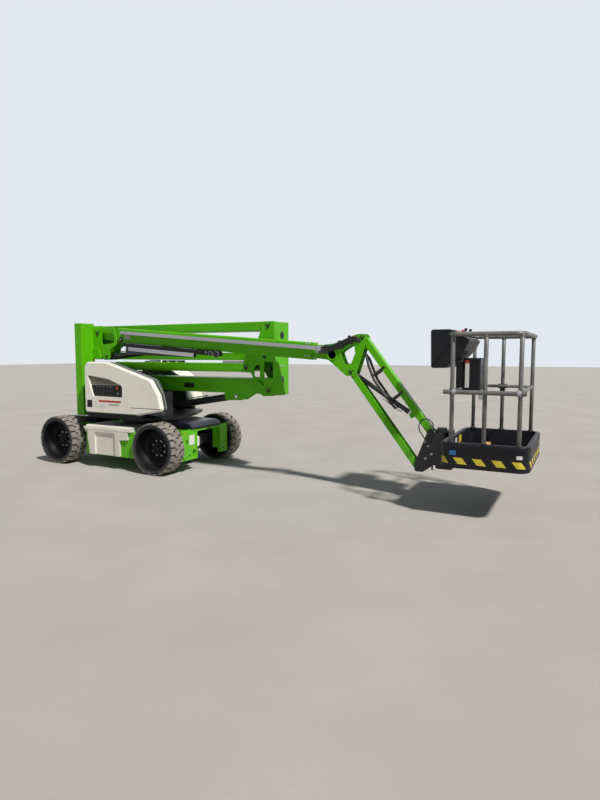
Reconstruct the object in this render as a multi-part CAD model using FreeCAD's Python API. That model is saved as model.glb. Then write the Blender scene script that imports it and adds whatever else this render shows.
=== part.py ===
"""Narrow self-propelled articulating boom lift, stowed, in millimetres.

+X points along the booms towards the work platform, +Z is up, and the origin
is on the ground under the slewing axis. The near side, with the offset main
boom, is -Y. Every piece is one STEP file in parts/, named after its node.
"""
import FreeCAD, Part
import math
import os

V = FreeCAD.Vector
X_AXIS = V(1, 0, 0)
Y_AXIS = V(0, 1, 0)
Z_AXIS = V(0, 0, 1)

# Gaps between pieces
SEAT_GAP = 0.3
RUNNING_GAP = 6
PIN_GAP = 0.5

# Wheels
OVERALL_WIDTH = 1500
WHEELBASE = 1680
TYRE_RADIUS = 320
TYRE_WIDTH = 240
LUG_COUNT = 22
LUG_LENGTH = 62
LUG_DEPTH = 14
LUG_GAP_SHARE = 0.27
RIM_RADIUS = 258
RIM_WALL = 8
DISH_DEPTH = 150
DISC_THICKNESS = 14
HUB_RADIUS = 78
HUB_LENGTH = 46

# Axles and steering
AXLE_HEIGHT = TYRE_RADIUS
AXLE_DEPTH = 100
AXLE_BREADTH = 120
KINGPIN_INSET = 175
KINGPIN_RADIUS = 24
KNUCKLE_RADIUS = 44
KNUCKLE_HEIGHT = 150
FORK_THICKNESS = 24
FORK_RADIUS = 48
SPINDLE_RADIUS = 42
GEAR_HOUSING_RADIUS = 105
DIFFERENTIAL_RADIUS = 130
AXLE_BRACKET_BOTTOM = 455
AXLE_BRACKET_WIDTH = 300

# Chassis
CHASSIS_HALF_WIDTH = 310
CHASSIS_BOTTOM = 150
CHASSIS_TOP = 520
END_OVERHANG = 260
SILL_HALF_WIDTH = 690
SILL_BACK_CLEARANCE = 190
SILL_FRONT_CLEARANCE = 8
SILL_BOTTOM = 172
SILL_TOP = 500
SILL_WALL = 50
END_PANEL_TOP = 530
END_PANEL_THICKNESS = 40
END_RECESS_DEPTH = 160
COVER_THICKNESS = 72
COVER_LENGTH = 540
# End panels: end of the chassis, low y, high y
END_PANELS = (
    (1, -500, -190),
    (1, 300, 466),
    (-1, -340, -190),
    (-1, 190, 340),
)
TIE_DOWN_RADIUS = 18
TIE_DOWN_HEIGHT = 200
# Cut-outs in the near panel at the cage end: middle y, middle z, width, height
PANEL_HOLES = (
    (-398, 380, 36, 62),
    (-252, 236, 70, 66),
)

# Battery boxes beside the chassis, between the wheels
BATTERY_BACK_GAP = 52
BATTERY_RIB_GAP = 232
BATTERY_FRONT_GAP = 94
BATTERY_FACE = 720
BATTERY_RIB = 22
SKIRT_BOTTOM = 390
BATTERY_BOTTOM = 180
BATTERY_LID_BACK_GAP = 20
BATTERY_LID_GAP = 42
BATTERY_LID_TOP = 560

# Slewing ring and turret base
SLEW_RADIUS = 300
SLEW_TOP = 650
BASE_THICKNESS = 34
BASE_BACK = -480
BASE_FRONT = 900
BASE_INSET = 80
TOWER_THICKNESS = 16

# Hoods on the turret
HOOD_FACE = 720
HOOD_DEPTH = 56
INNER_COVER_DEPTH = 140
PUMP_TOP = 990
TANK_TOP = 1250
CHARGER_TOP = 1180
HOOD_EDGE = 18
FAR_HOOD_DEPTH = 330
HOOD_WALL = 7
HOOD_BACK = -310
HOOD_BOTTOM = 717
HOOD_TOP = 1377
BULKHEAD_THICKNESS = 45
WINDOW_DEPTH = 25
CREASE_DEPTH = 4
HOOD_CREASE = (480, 1010)
# Window in the near hood: x, z, corner radius
HOOD_WINDOW = (
    (-252, 1206, 16),
    (-155, 937, 30),
    (351, 930, 24),
    (356, 1081, 50),
    (120, 1163, 200),
)

# Riser linkage: pivots in the x-z plane
LOWER_BOOM_REAR = (-150, 1045)
LOWER_BOOM_LENGTH = 2300
LOWER_TIE_OFFSET = (-310, 266)
UPPER_BOOM_LENGTH = 2720
UPPER_BOOM_RISE = 762
UPPER_TIE_OFFSET = (-50, -360)
LOWER_BOOM_DEPTH = 185
LOWER_BOOM_LIFT = 47
LOWER_TIE_DEPTH = 110
UPPER_TIE_DEPTH = 94
UPPER_BOOM_DEPTH = 110
BOOM_HALF_WIDTH = 150
TIE_HALF_WIDTH = 60
ARM_WALL = 8
PIN_RADIUS = 25
BOSS_RADIUS = 46
KNUCKLE_PLATE = 14
KNUCKLE_INSIDE = 158
KNUCKLE_FRONT = 2232

# Mast and its head
MAST_BACK = -647
MAST_FRONT = -514
MAST_NEAR = -560
MAST_FAR = -340
MAST_WALL = 10
MAST_BOTTOM = 656
MAST_TOP = 1885
HEAD_BOTTOM = 1402
HEAD_TOP = 1868
HEAD_PLATE = 12
GUSSET_THICKNESS = 14

# Main boom, offset to the near side
BOOM_Y = -280
MAIN_PIVOT = (-420, 1752)
MAIN_SLOPE = -4.27
MAIN_LENGTH = 3240
MAIN_DEPTH = 190
MAIN_WIDTH = 130
MAIN_WALL = 6
NECK_LENGTH = 344
NECK_HALF_WIDTH = 45
NECK_PLATE = 12
INNER_DEPTH = 150
INNER_WIDTH = 96
INNER_WALL = 6
INNER_OVERLAP = 550
NOSE_LENGTH = 130
TELESCOPE_STROKE = 1200
PAD_LENGTH = 60
CONDUIT_START = 430
CONDUIT_DEPTH = 34
CONDUIT_LEVELS = (18, 58)
TRAY_START_SHARE = 0.164
TRAY_END_SHARE = 0.509
TRAY_TOP = -141
TRAY_DEPTH_BACK = 105
TRAY_DEPTH_FRONT = 50
CHAIN_END_SHARE = 0.63
CHAIN_BOTTOM = -152
CHAIN_PITCH = 46

# Jib and cage bracket
JIB_HEAD_REACH = 584
JIB_HEAD_RISE = 136
JIB_OFFSET = (-125, -365)
JIB_LENGTH = 1210
JIB_ANGLE = -52.6
JIB_ARM_DEPTH = 70
JIB_ARM_WIDTH = 80
JIB_WALL = 5
JIB_PIN_RADIUS = 16
JIB_BOSS_RADIUS = 30
JIB_PLATE = 12
HEAD_EYE_RADIUS = 46
ROTATOR_REACH = 100
ROTATOR_RADIUS = 60

# Hoses: x and z along the boom's axis or in the machine's frame, then y from the boom's middle
HOSE_RADIUS = 9
HEAD_HOSE_Y = 14
HEAD_HOSE_START = (20.3, 90)
HEAD_HOSE_HEIGHT = 46
# Places over the head, measured from the jib pivot
HEAD_HOSE_ROUTE = ((-200, -20), (-158, 14), (-100, 8), (-50, -50), (-10, -137))
SADDLE_PLACE = (-136, -4)
SADDLE_RADIUS = 16
# Along the upper jib arm from its pivot, distance below its axis, y from the middle
JIB_HOSE_ROUTE = (
    (108.6, 92.2, 14),
    (185, 92, 34),
    (275, 125, 53),
    (430, 163, 53),
    (640, 164, 53),
    (800, 150, 53),
)
JIB_CLIPS = (380, 700)
JIB_CLIP_WIDTH = 24
JIB_CLIP_DROP = 166
JIB_CLIP_THICKNESS = 7
LOOP_RADIUS = 6
LOOP_Y = -73
# Free loop at the cage bracket, measured from the lower end of the upper jib arm
LOOP_ROUTE = (
    (-50, -66),
    (-80, -16),
    (-117.5, 34),
    (-117.5, 104),
    (-75, 146.5),
    (-15, 146.5),
    (27.5, 104),
    (27.5, 34),
    (15, -31),
    (-5, -86),
)
GLAND_RADIUS = 9
GLAND_REACH = 24

# Cage
CAGE_Y = -300
CAGE_GAP = 110
CAGE_LENGTH = 760
CAGE_WIDTH = 1140
TRAY_DROP = 218
TRAY_HEIGHT = 232
TRAY_WALL = 45
TRAY_FLOOR = 40
TRAY_CORNER = 110
TRAY_RIM_EDGE = 10
TRAY_FOOT_EDGE = 16
RAIL_TUBE_RADIUS = 20
MID_RAIL_RADIUS = 16
MID_RAIL_HEIGHT = 682
TOP_RAIL_HEIGHT = 1187
RAIL_BEND = 70
RAIL_BEND_RUNS = 3
RAIL_INSET = 45
COLLAR_RADIUS = 27
COLLAR_HEIGHT = 60
CONSOLE_WIDTH = 560

# Lift angles from the stowed pose
RISER_LIFT = 62
BOOM_LIFT = 75
JIB_LIFT = 90

# Cylinders: base pin, rod pin, barrel radius
RISER_CYLINDER = ((300, 747), (1620, 960), 45)
BOOM_CYLINDER = ((-260, 1436), (750, 1536), 38)
JIB_ROD_SETBACK = 258
JIB_ROD_DROP = 3.2
JIB_BARREL_RADIUS = 24
STROKE_SPARE = 4
PISTON_LENGTH = 40
BARREL_FLOOR = 50
ROD_SHARE = 0.6
GLAND_LENGTH = 30
GLAND_LIP = 3
LUG_THICKNESS = 18

# Places that follow from the sizes above
WHEEL_X = WHEELBASE / 2
WHEEL_FACE = OVERALL_WIDTH / 2
CHASSIS_END = WHEEL_X + END_OVERHANG
BASE_HALF_WIDTH = HOOD_FACE - BASE_INSET
SILL_BACK = TYRE_RADIUS + SILL_BACK_CLEARANCE - WHEEL_X
SILL_FRONT = WHEEL_X - TYRE_RADIUS - SILL_FRONT_CLEARANCE
BATTERY_BACK = SILL_BACK + BATTERY_BACK_GAP
BATTERY_LID_BACK = SILL_BACK + BATTERY_LID_BACK_GAP
BATTERY_RIB_END = SILL_FRONT - BATTERY_RIB_GAP
BATTERY_FRONT = SILL_FRONT - BATTERY_FRONT_GAP
BATTERY_LID_FRONT = SILL_FRONT - BATTERY_LID_GAP
KINGPIN_Y = WHEEL_FACE - TYRE_WIDTH / 2 - KINGPIN_INSET
BASE_BOTTOM = SLEW_TOP + SEAT_GAP
BASE_TOP = BASE_BOTTOM + BASE_THICKNESS
KNUCKLE_X = LOWER_BOOM_REAR[0] + LOWER_BOOM_LENGTH
LOWER_BOOM_FRONT = (KNUCKLE_X, LOWER_BOOM_REAR[1])
UPPER_BOOM_FRONT = (KNUCKLE_X, LOWER_BOOM_REAR[1] + UPPER_BOOM_RISE)
UPPER_BOOM_REAR = (KNUCKLE_X - UPPER_BOOM_LENGTH, UPPER_BOOM_FRONT[1])


def add(point, offset):
    """Sum of two x-z places."""
    return (point[0] + offset[0], point[1] + offset[1])


def polar(point, length, degrees):
    """Place reached from an x-z point at an angle above +X."""
    angle = math.radians(degrees)
    return (point[0] + length * math.cos(angle), point[1] + length * math.sin(angle))


LOWER_TIE_REAR = add(LOWER_BOOM_REAR, LOWER_TIE_OFFSET)
LOWER_TIE_FRONT = add(LOWER_BOOM_FRONT, LOWER_TIE_OFFSET)
UPPER_TIE_FRONT = add(UPPER_BOOM_FRONT, UPPER_TIE_OFFSET)
UPPER_TIE_REAR = add(UPPER_BOOM_REAR, UPPER_TIE_OFFSET)
MAIN_TIP = polar(MAIN_PIVOT, MAIN_LENGTH, MAIN_SLOPE)
JIB_PIVOT = add(MAIN_TIP, (JIB_HEAD_REACH, JIB_HEAD_RISE))
JIB_LOWER_PIVOT = add(JIB_PIVOT, JIB_OFFSET)
JIB_END = polar(JIB_PIVOT, JIB_LENGTH, JIB_ANGLE)
JIB_LOWER_END = add(JIB_END, JIB_OFFSET)
JIB_ROD_PIN = polar(JIB_PIVOT, JIB_LENGTH - JIB_ROD_SETBACK, JIB_ANGLE - JIB_ROD_DROP)
ROTATE_AXIS_X = JIB_END[0] + ROTATOR_REACH
CAGE_BACK = ROTATE_AXIS_X + CAGE_GAP
CAGE_FRONT = CAGE_BACK + CAGE_LENGTH
TRAY_BOTTOM = JIB_END[1] - TRAY_DROP
TRAY_RIM = TRAY_BOTTOM + TRAY_HEIGHT
MID_RAIL = TRAY_BOTTOM + MID_RAIL_HEIGHT
TOP_RAIL = TRAY_BOTTOM + TOP_RAIL_HEIGHT
HOSE_TRAY_ENDS = (MAIN_LENGTH * TRAY_START_SHARE, MAIN_LENGTH * TRAY_END_SHARE)
CHAIN_END = MAIN_LENGTH * CHAIN_END_SHARE


def box(x, y, z):
    """Block between two x, two y and two z values."""
    return Part.makeBox(x[1] - x[0], y[1] - y[0], z[1] - z[0], V(x[0], y[0], z[0]))


def rod_y(place, y, radius):
    """Cylinder along Y at an x-z place."""
    return Part.makeCylinder(radius, y[1] - y[0], V(place[0], y[0], place[1]), Y_AXIS)


def rod_z(x, y, z, radius):
    """Vertical cylinder."""
    return Part.makeCylinder(radius, z[1] - z[0], V(x, y, z[0]), Z_AXIS)


def rod(start, end, radius):
    """Cylinder between two points."""
    line = end - start
    return Part.makeCylinder(radius, line.Length, start, line)


def centred(middle, width):
    """The two values that lie half a width each side of the middle."""
    return (middle - width / 2, middle + width / 2)


def rounded_face(corners, place):
    """Face through (a, b, radius) corners, each rounded by its own tangent arc."""
    entries = []
    exits = []
    middles = []
    count = len(corners)
    for index in range(count):
        a, b, radius = corners[index]
        corner = place(a, b)
        before = place(*corners[index - 1][:2]) - corner
        after = place(*corners[(index + 1) % count][:2]) - corner
        before.normalize()
        after.normalize()
        half = before.getAngle(after) / 2
        reach = radius / math.tan(half)
        entries.append(corner + before * reach)
        exits.append(corner + after * reach)
        inward = before + after
        inward.normalize()
        middles.append(corner + inward * (radius / math.sin(half) - radius))
    edges = []
    for index in range(count):
        start = exits[index - 1]
        if start.distanceToPoint(entries[index]) > 0.001:
            edges.append(Part.LineSegment(start, entries[index]).toShape())
        if corners[index][2] > 0:
            arc = Part.Arc(entries[index], middles[index], exits[index])
            edges.append(arc.toShape())
    return Part.Face(Part.Wire(edges))


def plate_y(corners, y):
    """Plate with an x-z outline between two y values."""
    face = rounded_face(corners, lambda a, b: V(a, y[0], b))
    return face.extrude(V(0, y[1] - y[0], 0))


def plate_z(corners, z):
    """Plate with an x-y outline between two z values."""
    face = rounded_face(corners, lambda a, b: V(a, b, z[0]))
    return face.extrude(V(0, 0, z[1] - z[0]))


def plate_x(corners, x):
    """Plate with a y-z outline between two x values."""
    face = rounded_face(corners, lambda a, b: V(x[0], a, b))
    return face.extrude(V(x[1] - x[0], 0, 0))


def rectangle(a, b, radius):
    """Rounded rectangle as corners for a plate."""
    return [(a[0], b[0], radius), (a[1], b[0], radius), (a[1], b[1], radius), (a[0], b[1], radius)]


def along(shape, start, end):
    """Turn and move a shape built along +X from the origin so that it runs from start to end."""
    angle = math.degrees(math.atan2(end[1] - start[1], end[0] - start[0]))
    shape.rotate(V(0, 0, 0), Y_AXIS, -angle)
    shape.translate(V(start[0], 0, start[1]))
    return shape


def distance(start, end):
    """Length between two x-z places."""
    return math.hypot(end[0] - start[0], end[1] - start[1])


def box_beam(length, depth, y, wall, corner):
    """Rounded box section from the origin along +X, closed by its end walls."""
    outer = plate_x(rectangle(y, (-depth / 2, depth / 2), corner), (0, length))
    hollow_y = (y[0] + wall, y[1] - wall)
    hollow = box((wall, length - wall), hollow_y, (-depth / 2 + wall, depth / 2 - wall))
    return outer.cut(hollow)


def pivoted_arm(start, end, depth, half_width, lift=0):
    """Box arm between two pivots, with a bored cross boss at each end."""
    length = distance(start, end)
    inset = BOSS_RADIUS * 0.8
    boss_half = KNUCKLE_INSIDE - RUNNING_GAP
    arm = box_beam(length - 2 * inset, depth, (-half_width, half_width), ARM_WALL, 8)
    arm.translate(V(inset, 0, lift))
    for x in (0, length):
        arm = arm.fuse(rod_y((x, 0), (-boss_half, boss_half), BOSS_RADIUS))
    for x in (0, length):
        arm = arm.cut(rod_y((x, 0), (-boss_half - 1, boss_half + 1), PIN_RADIUS + PIN_GAP))
    return along(arm, start, end)


def mirrored_y(shape):
    """Copy of a shape on the other side of the x-z plane."""
    return shape.mirror(V(0, 0, 0), Y_AXIS)


def save(name, shape):
    """Write one node's solids."""
    if not shape.isValid():
        print("not valid:", name)
    shape.removeSplitter().exportStep("parts/" + name + ".step")


def tyre():
    """Tyre about the Y axis at the origin, outer face towards -Y, with a row of lugs on each shoulder."""
    half = TYRE_WIDTH / 2
    body = revolved([(-half, RIM_RADIUS), (half, RIM_RADIUS), (half, TYRE_RADIUS), (-half, TYRE_RADIUS)])
    pitch = 360 / LUG_COUNT
    gap = math.radians(pitch) * TYRE_RADIUS * LUG_GAP_SHARE
    notches = []
    for side in (-1, 1):
        y = sorted((side * (half - LUG_LENGTH), side * (half + 1)))
        for index in range(LUG_COUNT):
            notch = box(centred(0, gap), y, (TYRE_RADIUS - LUG_DEPTH, TYRE_RADIUS + LUG_DEPTH))
            notch.rotate(V(0, 0, 0), Y_AXIS, (index + (side + 1) / 4) * pitch)
            notches.append(notch)
    return body.cut(notches)


def rim():
    """Deep-dished wheel about the Y axis, outer face towards -Y."""
    half = TYRE_WIDTH / 2
    outer = RIM_RADIUS
    inner = RIM_RADIUS - RIM_WALL
    disc = -half + DISH_DEPTH
    return revolved([
        (-half, outer),
        (-half, inner - 4),
        (-half + 16, inner),
        (disc - 60, inner - 8),
        (disc, inner - 48),
        (disc, HUB_RADIUS),
        (disc - HUB_LENGTH, HUB_RADIUS - 10),
        (disc - HUB_LENGTH, 0),
        (disc + DISC_THICKNESS, 0),
        (disc + DISC_THICKNESS, inner - 52),
        (half, inner - 4),
        (half, outer),
    ])


def place_wheel(shape, x, side):
    """Put a wheel piece at an axle end; side is -1 near, +1 far."""
    if side > 0:
        shape = mirrored_y(shape)
    shape = shape.copy()
    shape.translate(V(x, side * (WHEEL_FACE - TYRE_WIDTH / 2), AXLE_HEIGHT))
    return shape


def wheels():
    """Four tyres and four rims."""
    places = {"drive_near": (WHEEL_X, -1), "drive_far": (WHEEL_X, 1),
              "steer_near": (-WHEEL_X, -1), "steer_far": (-WHEEL_X, 1)}
    for name, (x, side) in places.items():
        save("tyre_" + name, place_wheel(tyre(), x, side))
        save("rim_" + name, place_wheel(rim(), x, side))


def axle_saddle(x):
    """Block on an axle that bolts up against its bracket."""
    y = centred(0, AXLE_BRACKET_WIDTH * 0.6)
    return box(centred(x, AXLE_BREADTH - 20), y, (AXLE_HEIGHT, AXLE_BRACKET_BOTTOM - SEAT_GAP))


def steer_axle():
    """Beam axle with a fork around each kingpin."""
    x = -WHEEL_X
    reach = KINGPIN_Y - FORK_RADIUS - 6
    middle = (AXLE_HEIGHT - AXLE_DEPTH / 2, AXLE_HEIGHT + AXLE_DEPTH / 2)
    axle = box(centred(x, AXLE_BREADTH), (-reach, reach), middle)
    gap = KNUCKLE_HEIGHT / 2 + 1
    for side in (-1, 1):
        kingpin = side * KINGPIN_Y
        for level in (AXLE_HEIGHT - gap - FORK_THICKNESS, AXLE_HEIGHT + gap):
            z = (level, level + FORK_THICKNESS)
            ear = rod_z(x, kingpin, z, FORK_RADIUS)
            arm_y = sorted((side * (reach - 60), kingpin))
            arm = box(centred(x, 2 * FORK_RADIUS), arm_y, z)
            axle = axle.fuse(ear).fuse(arm)
        web_y = sorted((side * (reach - 60), side * reach))
        web_z = (AXLE_HEIGHT - gap - FORK_THICKNESS, AXLE_HEIGHT + gap + FORK_THICKNESS)
        axle = axle.fuse(box(centred(x, 2 * FORK_RADIUS), web_y, web_z))
        pin_z = (AXLE_HEIGHT - gap - FORK_THICKNESS - 12, AXLE_HEIGHT + gap + FORK_THICKNESS + 12)
        axle = axle.fuse(rod_z(x, kingpin, pin_z, KINGPIN_RADIUS))
    return axle.fuse(axle_saddle(x))


def steer_knuckle(side):
    """Hub carrier that turns on a kingpin and carries a spindle."""
    x = -WHEEL_X
    kingpin = side * KINGPIN_Y
    z = centred(AXLE_HEIGHT, KNUCKLE_HEIGHT)
    body = rod_z(x, kingpin, z, KNUCKLE_RADIUS)
    hub_back = WHEEL_FACE - DISH_DEPTH - DISC_THICKNESS - SEAT_GAP
    spindle = rod_y((x, AXLE_HEIGHT), sorted((kingpin, side * hub_back)), SPINDLE_RADIUS)
    flange = rod_y((x, AXLE_HEIGHT), sorted((side * (hub_back - 16), side * hub_back)), 92)
    arm = box((x, x + 120), centred(kingpin, 30), (AXLE_HEIGHT - 70, AXLE_HEIGHT - 50))
    body = body.fuse(spindle).fuse(flange).fuse(arm)
    return body.cut(rod_z(x, kingpin, (z[0] - 1, z[1] + 1), KINGPIN_RADIUS + PIN_GAP))


def drive_axle():
    """Axle housing with a gear case at each end."""
    x = WHEEL_X
    reach = WHEEL_FACE - DISH_DEPTH - DISC_THICKNESS - SEAT_GAP
    case = reach - 90
    axle = rod_y((x, AXLE_HEIGHT), (-reach, reach), SPINDLE_RADIUS)
    axle = axle.fuse(box(centred(x, AXLE_BREADTH), (-case, case), centred(AXLE_HEIGHT, AXLE_DEPTH)))
    for side in (-1, 1):
        y = sorted((side * case, side * (reach - 12)))
        axle = axle.fuse(rod_y((x, AXLE_HEIGHT), y, GEAR_HOUSING_RADIUS))
    for half_width, radius in ((70, DIFFERENTIAL_RADIUS), (110, DIFFERENTIAL_RADIUS - 35)):
        axle = axle.fuse(rod_y((x, AXLE_HEIGHT), (-half_width, half_width), radius))
    return axle.fuse(axle_saddle(x))


def chassis_frame():
    """Central box frame with side sills round the battery boxes and an end panel at each corner."""
    z = (CHASSIS_BOTTOM + 60, CHASSIS_TOP)
    frame = box((-CHASSIS_END, CHASSIS_END), (-CHASSIS_HALF_WIDTH, CHASSIS_HALF_WIDTH), z)
    for end in (-1, 1):
        recess_x = sorted((end * (CHASSIS_END - END_RECESS_DEPTH), end * (CHASSIS_END + 1)))
        recess_y = (120 - CHASSIS_HALF_WIDTH, CHASSIS_HALF_WIDTH - 10)
        frame = frame.cut(box(recess_x, recess_y, (0, CHASSIS_TOP - 20)))
        wheel_x = end * WHEEL_X
        room_x = centred(wheel_x, 2 * GEAR_HOUSING_RADIUS + 60)
        room_y = centred(0, 2 * CHASSIS_HALF_WIDTH + 180)
        frame = frame.cut(box(room_x, room_y, (0, AXLE_BRACKET_BOTTOM + 5)))
    battery_end = BATTERY_RIB_END + 4
    for side in (-1, 1):
        sill_y = sorted((side * CHASSIS_HALF_WIDTH, side * SILL_HALF_WIDTH))
        sill = box((SILL_BACK, SILL_FRONT), sill_y, (SILL_BOTTOM, SILL_TOP))
        room_y = sorted((side * (CHASSIS_HALF_WIDTH + 10), side * (SILL_HALF_WIDTH + 1)))
        room = box((SILL_BACK + SILL_WALL, battery_end), room_y, (SILL_BOTTOM + 6, SILL_TOP + 1))
        post_y = sorted((side * (CHASSIS_HALF_WIDTH + 10), side * (SILL_HALF_WIDTH - 10)))
        post_room = box((battery_end + 10, SILL_FRONT - 10), post_y, (SILL_BOTTOM - 1, SILL_TOP - 10))
        frame = frame.fuse(sill.cut(room).cut(post_room))
    for end, low, high in END_PANELS:
        x = sorted((end * (CHASSIS_END - END_PANEL_THICKNESS), end * CHASSIS_END))
        panel = box(x, (low, high), (CHASSIS_BOTTOM, END_PANEL_TOP))
        frame = frame.fuse(panel)
    for y, z, width, height in PANEL_HOLES:
        hole = rectangle(centred(y, width), centred(z, height), 0.4 * width)
        frame = frame.cut(plate_x(hole, (CHASSIS_END - 2 * END_PANEL_THICKNESS, CHASSIS_END + 1)))
    for _, (x, y, z, end) in tie_down_places():
        start = V(x - end * (END_PANEL_THICKNESS + 1), y, z)
        frame = frame.cut(rod(start, V(x + end, y, z), TIE_DOWN_RADIUS))
    return frame


def tie_down_places():
    """Name, x, y, z and outward direction of each strap hole in the end panels."""
    places = []
    for end, low, high in END_PANELS:
        y = (low + high) / 2
        name = ("tie_down_cage_end" if end > 0 else "tie_down_mast_end") + ("_near" if y < 0 else "_far")
        places.append((name, (end * CHASSIS_END, y, TIE_DOWN_HEIGHT, end)))
    return places


def axle_brackets():
    """Blocks that hang the two axles from the frame."""
    brackets = []
    for end in (-1, 1):
        x = centred(end * WHEEL_X, AXLE_BREADTH - 20)
        brackets.append(box(x, centred(0, AXLE_BRACKET_WIDTH), (AXLE_BRACKET_BOTTOM, CHASSIS_TOP)))
    return brackets


def chassis_covers():
    """Black covers over the two ends of the chassis."""
    covers = []
    for end in (-1, 1):
        profile = [
            (end * (CHASSIS_END - COVER_LENGTH), END_PANEL_TOP + SEAT_GAP, 0),
            (end * (CHASSIS_END + 10), END_PANEL_TOP + SEAT_GAP, 0),
            (end * (CHASSIS_END + 10), END_PANEL_TOP + 30, 10),
            (end * (CHASSIS_END - 60), END_PANEL_TOP + COVER_THICKNESS, 30),
            (end * (CHASSIS_END - COVER_LENGTH), END_PANEL_TOP + COVER_THICKNESS + 10, 10),
        ]
        covers.append(plate_y(profile, (-CHASSIS_HALF_WIDTH, CHASSIS_HALF_WIDTH)))
    return Part.makeCompound(covers)


def battery_boxes():
    """Moulded battery cover on each side: a box with a sunk panel between ribs, a skirt and a wider lid."""
    boxes = []
    inner = CHASSIS_HALF_WIDTH + 10 + SEAT_GAP
    for side in (-1, 1):
        core_y = sorted((side * inner, side * (BATTERY_FACE - BATTERY_RIB)))
        core = box((BATTERY_BACK, BATTERY_RIB_END), core_y, (BATTERY_BOTTOM, SILL_TOP + 2))
        skin_y = sorted((side * (BATTERY_FACE - BATTERY_RIB - 1), side * BATTERY_FACE))
        ribs = [
            (BATTERY_BACK, SILL_TOP + 2, 0),
            (BATTERY_BACK, BATTERY_BOTTOM + 220, 30),
            (BATTERY_BACK + 40, BATTERY_BOTTOM, 20),
            (BATTERY_RIB_END, BATTERY_BOTTOM, 10),
            (BATTERY_RIB_END, SKIRT_BOTTOM, 14),
            (BATTERY_FRONT, SKIRT_BOTTOM + 10, 20),
            (BATTERY_FRONT, SILL_TOP + 2, 0),
        ]
        panel_x = (BATTERY_BACK + 130, BATTERY_RIB_END - 75)
        panel = rectangle(panel_x, (BATTERY_BOTTOM - 10, SILL_TOP - 26), 16)
        skin = plate_y(ribs, skin_y).cut(plate_y(panel, (skin_y[0] - 1, skin_y[1] + 1)))
        skirt_y = sorted((side * (SILL_HALF_WIDTH + SEAT_GAP), side * BATTERY_FACE))
        skirt = box((BATTERY_RIB_END - 1, BATTERY_FRONT), skirt_y, (SKIRT_BOTTOM + 10, SILL_TOP + 2))
        lid = [(inner, SILL_TOP + SEAT_GAP, 0), (BATTERY_FACE + 4, SILL_TOP + SEAT_GAP, 6),
               (BATTERY_FACE - 2, BATTERY_LID_TOP - 14, 12), (BATTERY_FACE - 30, BATTERY_LID_TOP, 20),
               (inner, BATTERY_LID_TOP, 0)]
        lid = plate_x([(side * y, z, radius) for y, z, radius in lid], (BATTERY_LID_BACK, BATTERY_LID_FRONT))
        boxes.append(core.fuse(skin).fuse(skirt).fuse(lid))
    return Part.makeCompound(boxes)


def slew_ring():
    """Slewing bearing on the chassis top."""
    ring = rod_z(0, 0, (CHASSIS_TOP, SLEW_TOP - 40), SLEW_RADIUS - 40)
    return ring.fuse(rod_z(0, 0, (SLEW_TOP - 60, SLEW_TOP), SLEW_RADIUS))


def turret_base():
    """Slewing platform with the tower that carries the riser and its cylinder lugs."""
    outline = [
        (BASE_BACK, -330, 40),
        (BASE_BACK + 130, -BASE_HALF_WIDTH, 60),
        (BASE_FRONT - 160, -BASE_HALF_WIDTH, 160),
        (BASE_FRONT, -300, 60),
        (BASE_FRONT - 120, 200, 60),
        (BASE_FRONT - 340, BASE_HALF_WIDTH, 60),
        (BASE_BACK + 130, BASE_HALF_WIDTH, 60),
        (BASE_BACK, 330, 40),
    ]
    base = plate_z(outline, (BASE_BOTTOM, BASE_TOP))
    tower = [
        (BASE_BACK, BASE_TOP - 1, 0),
        (LOWER_BOOM_REAR[0] + 190, BASE_TOP - 1, 0),
        (LOWER_BOOM_REAR[0] + 70, LOWER_BOOM_REAR[1] + 60, 60),
        (LOWER_TIE_REAR[0] + 60, LOWER_TIE_REAR[1] + 55, 50),
        (LOWER_TIE_REAR[0] - 60, LOWER_TIE_REAR[1] + 55, 50),
        (LOWER_TIE_REAR[0] - 60, LOWER_TIE_REAR[1] - 160, 40),
    ]
    for side in (-1, 1):
        y = sorted((side * KNUCKLE_INSIDE, side * (KNUCKLE_INSIDE + TOWER_THICKNESS)))
        base = base.fuse(plate_y(tower, y))
    end = KNUCKLE_INSIDE + TOWER_THICKNESS + 8
    for pivot in (LOWER_BOOM_REAR, LOWER_TIE_REAR):
        base = base.fuse(rod_y(pivot, (-end, end), PIN_RADIUS))
    pin, _, barrel = RISER_CYLINDER
    for side in (-1, 1):
        y = sorted((side * (barrel + RUNNING_GAP), side * (barrel + RUNNING_GAP + 18)))
        lug = [(pin[0] - 70, BASE_TOP - 1, 0), (pin[0] + 70, BASE_TOP - 1, 0),
               (pin[0] + 40, pin[1] + 40, 30), (pin[0] - 40, pin[1] + 40, 30)]
        base = base.fuse(plate_y(lug, y))
    reach = barrel + RUNNING_GAP + 26
    base = base.fuse(rod_y(pin, (-reach, reach), 18))
    for side, front in ((-1, BASE_FRONT - 200), (1, 440)):
        y = sorted((side * (HOOD_FACE - 26), side * (BASE_HALF_WIDTH - 10)))
        base = base.fuse(box((HOOD_BACK + 20, front - 60), y, (BASE_TOP - 10, HOOD_BOTTOM - SEAT_GAP)))
    return base


def hood_profile(inset, front_trim):
    """Side outline of a hood, drawn in by inset, its front moved back by front_trim."""
    nose = 985 - front_trim - inset
    return [
        (HOOD_BACK + inset, HOOD_BOTTOM, 40),
        (HOOD_BACK + inset, HOOD_TOP - inset, 90),
        (90 - front_trim / 4, HOOD_TOP - inset, 150),
        (816 - front_trim - inset / 2, 1166 - inset, 60),
        (940 - front_trim - inset, 980, 60),
        (nose, 790, 40),
        (590 - front_trim - inset, HOOD_BOTTOM, 80),
    ]


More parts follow.
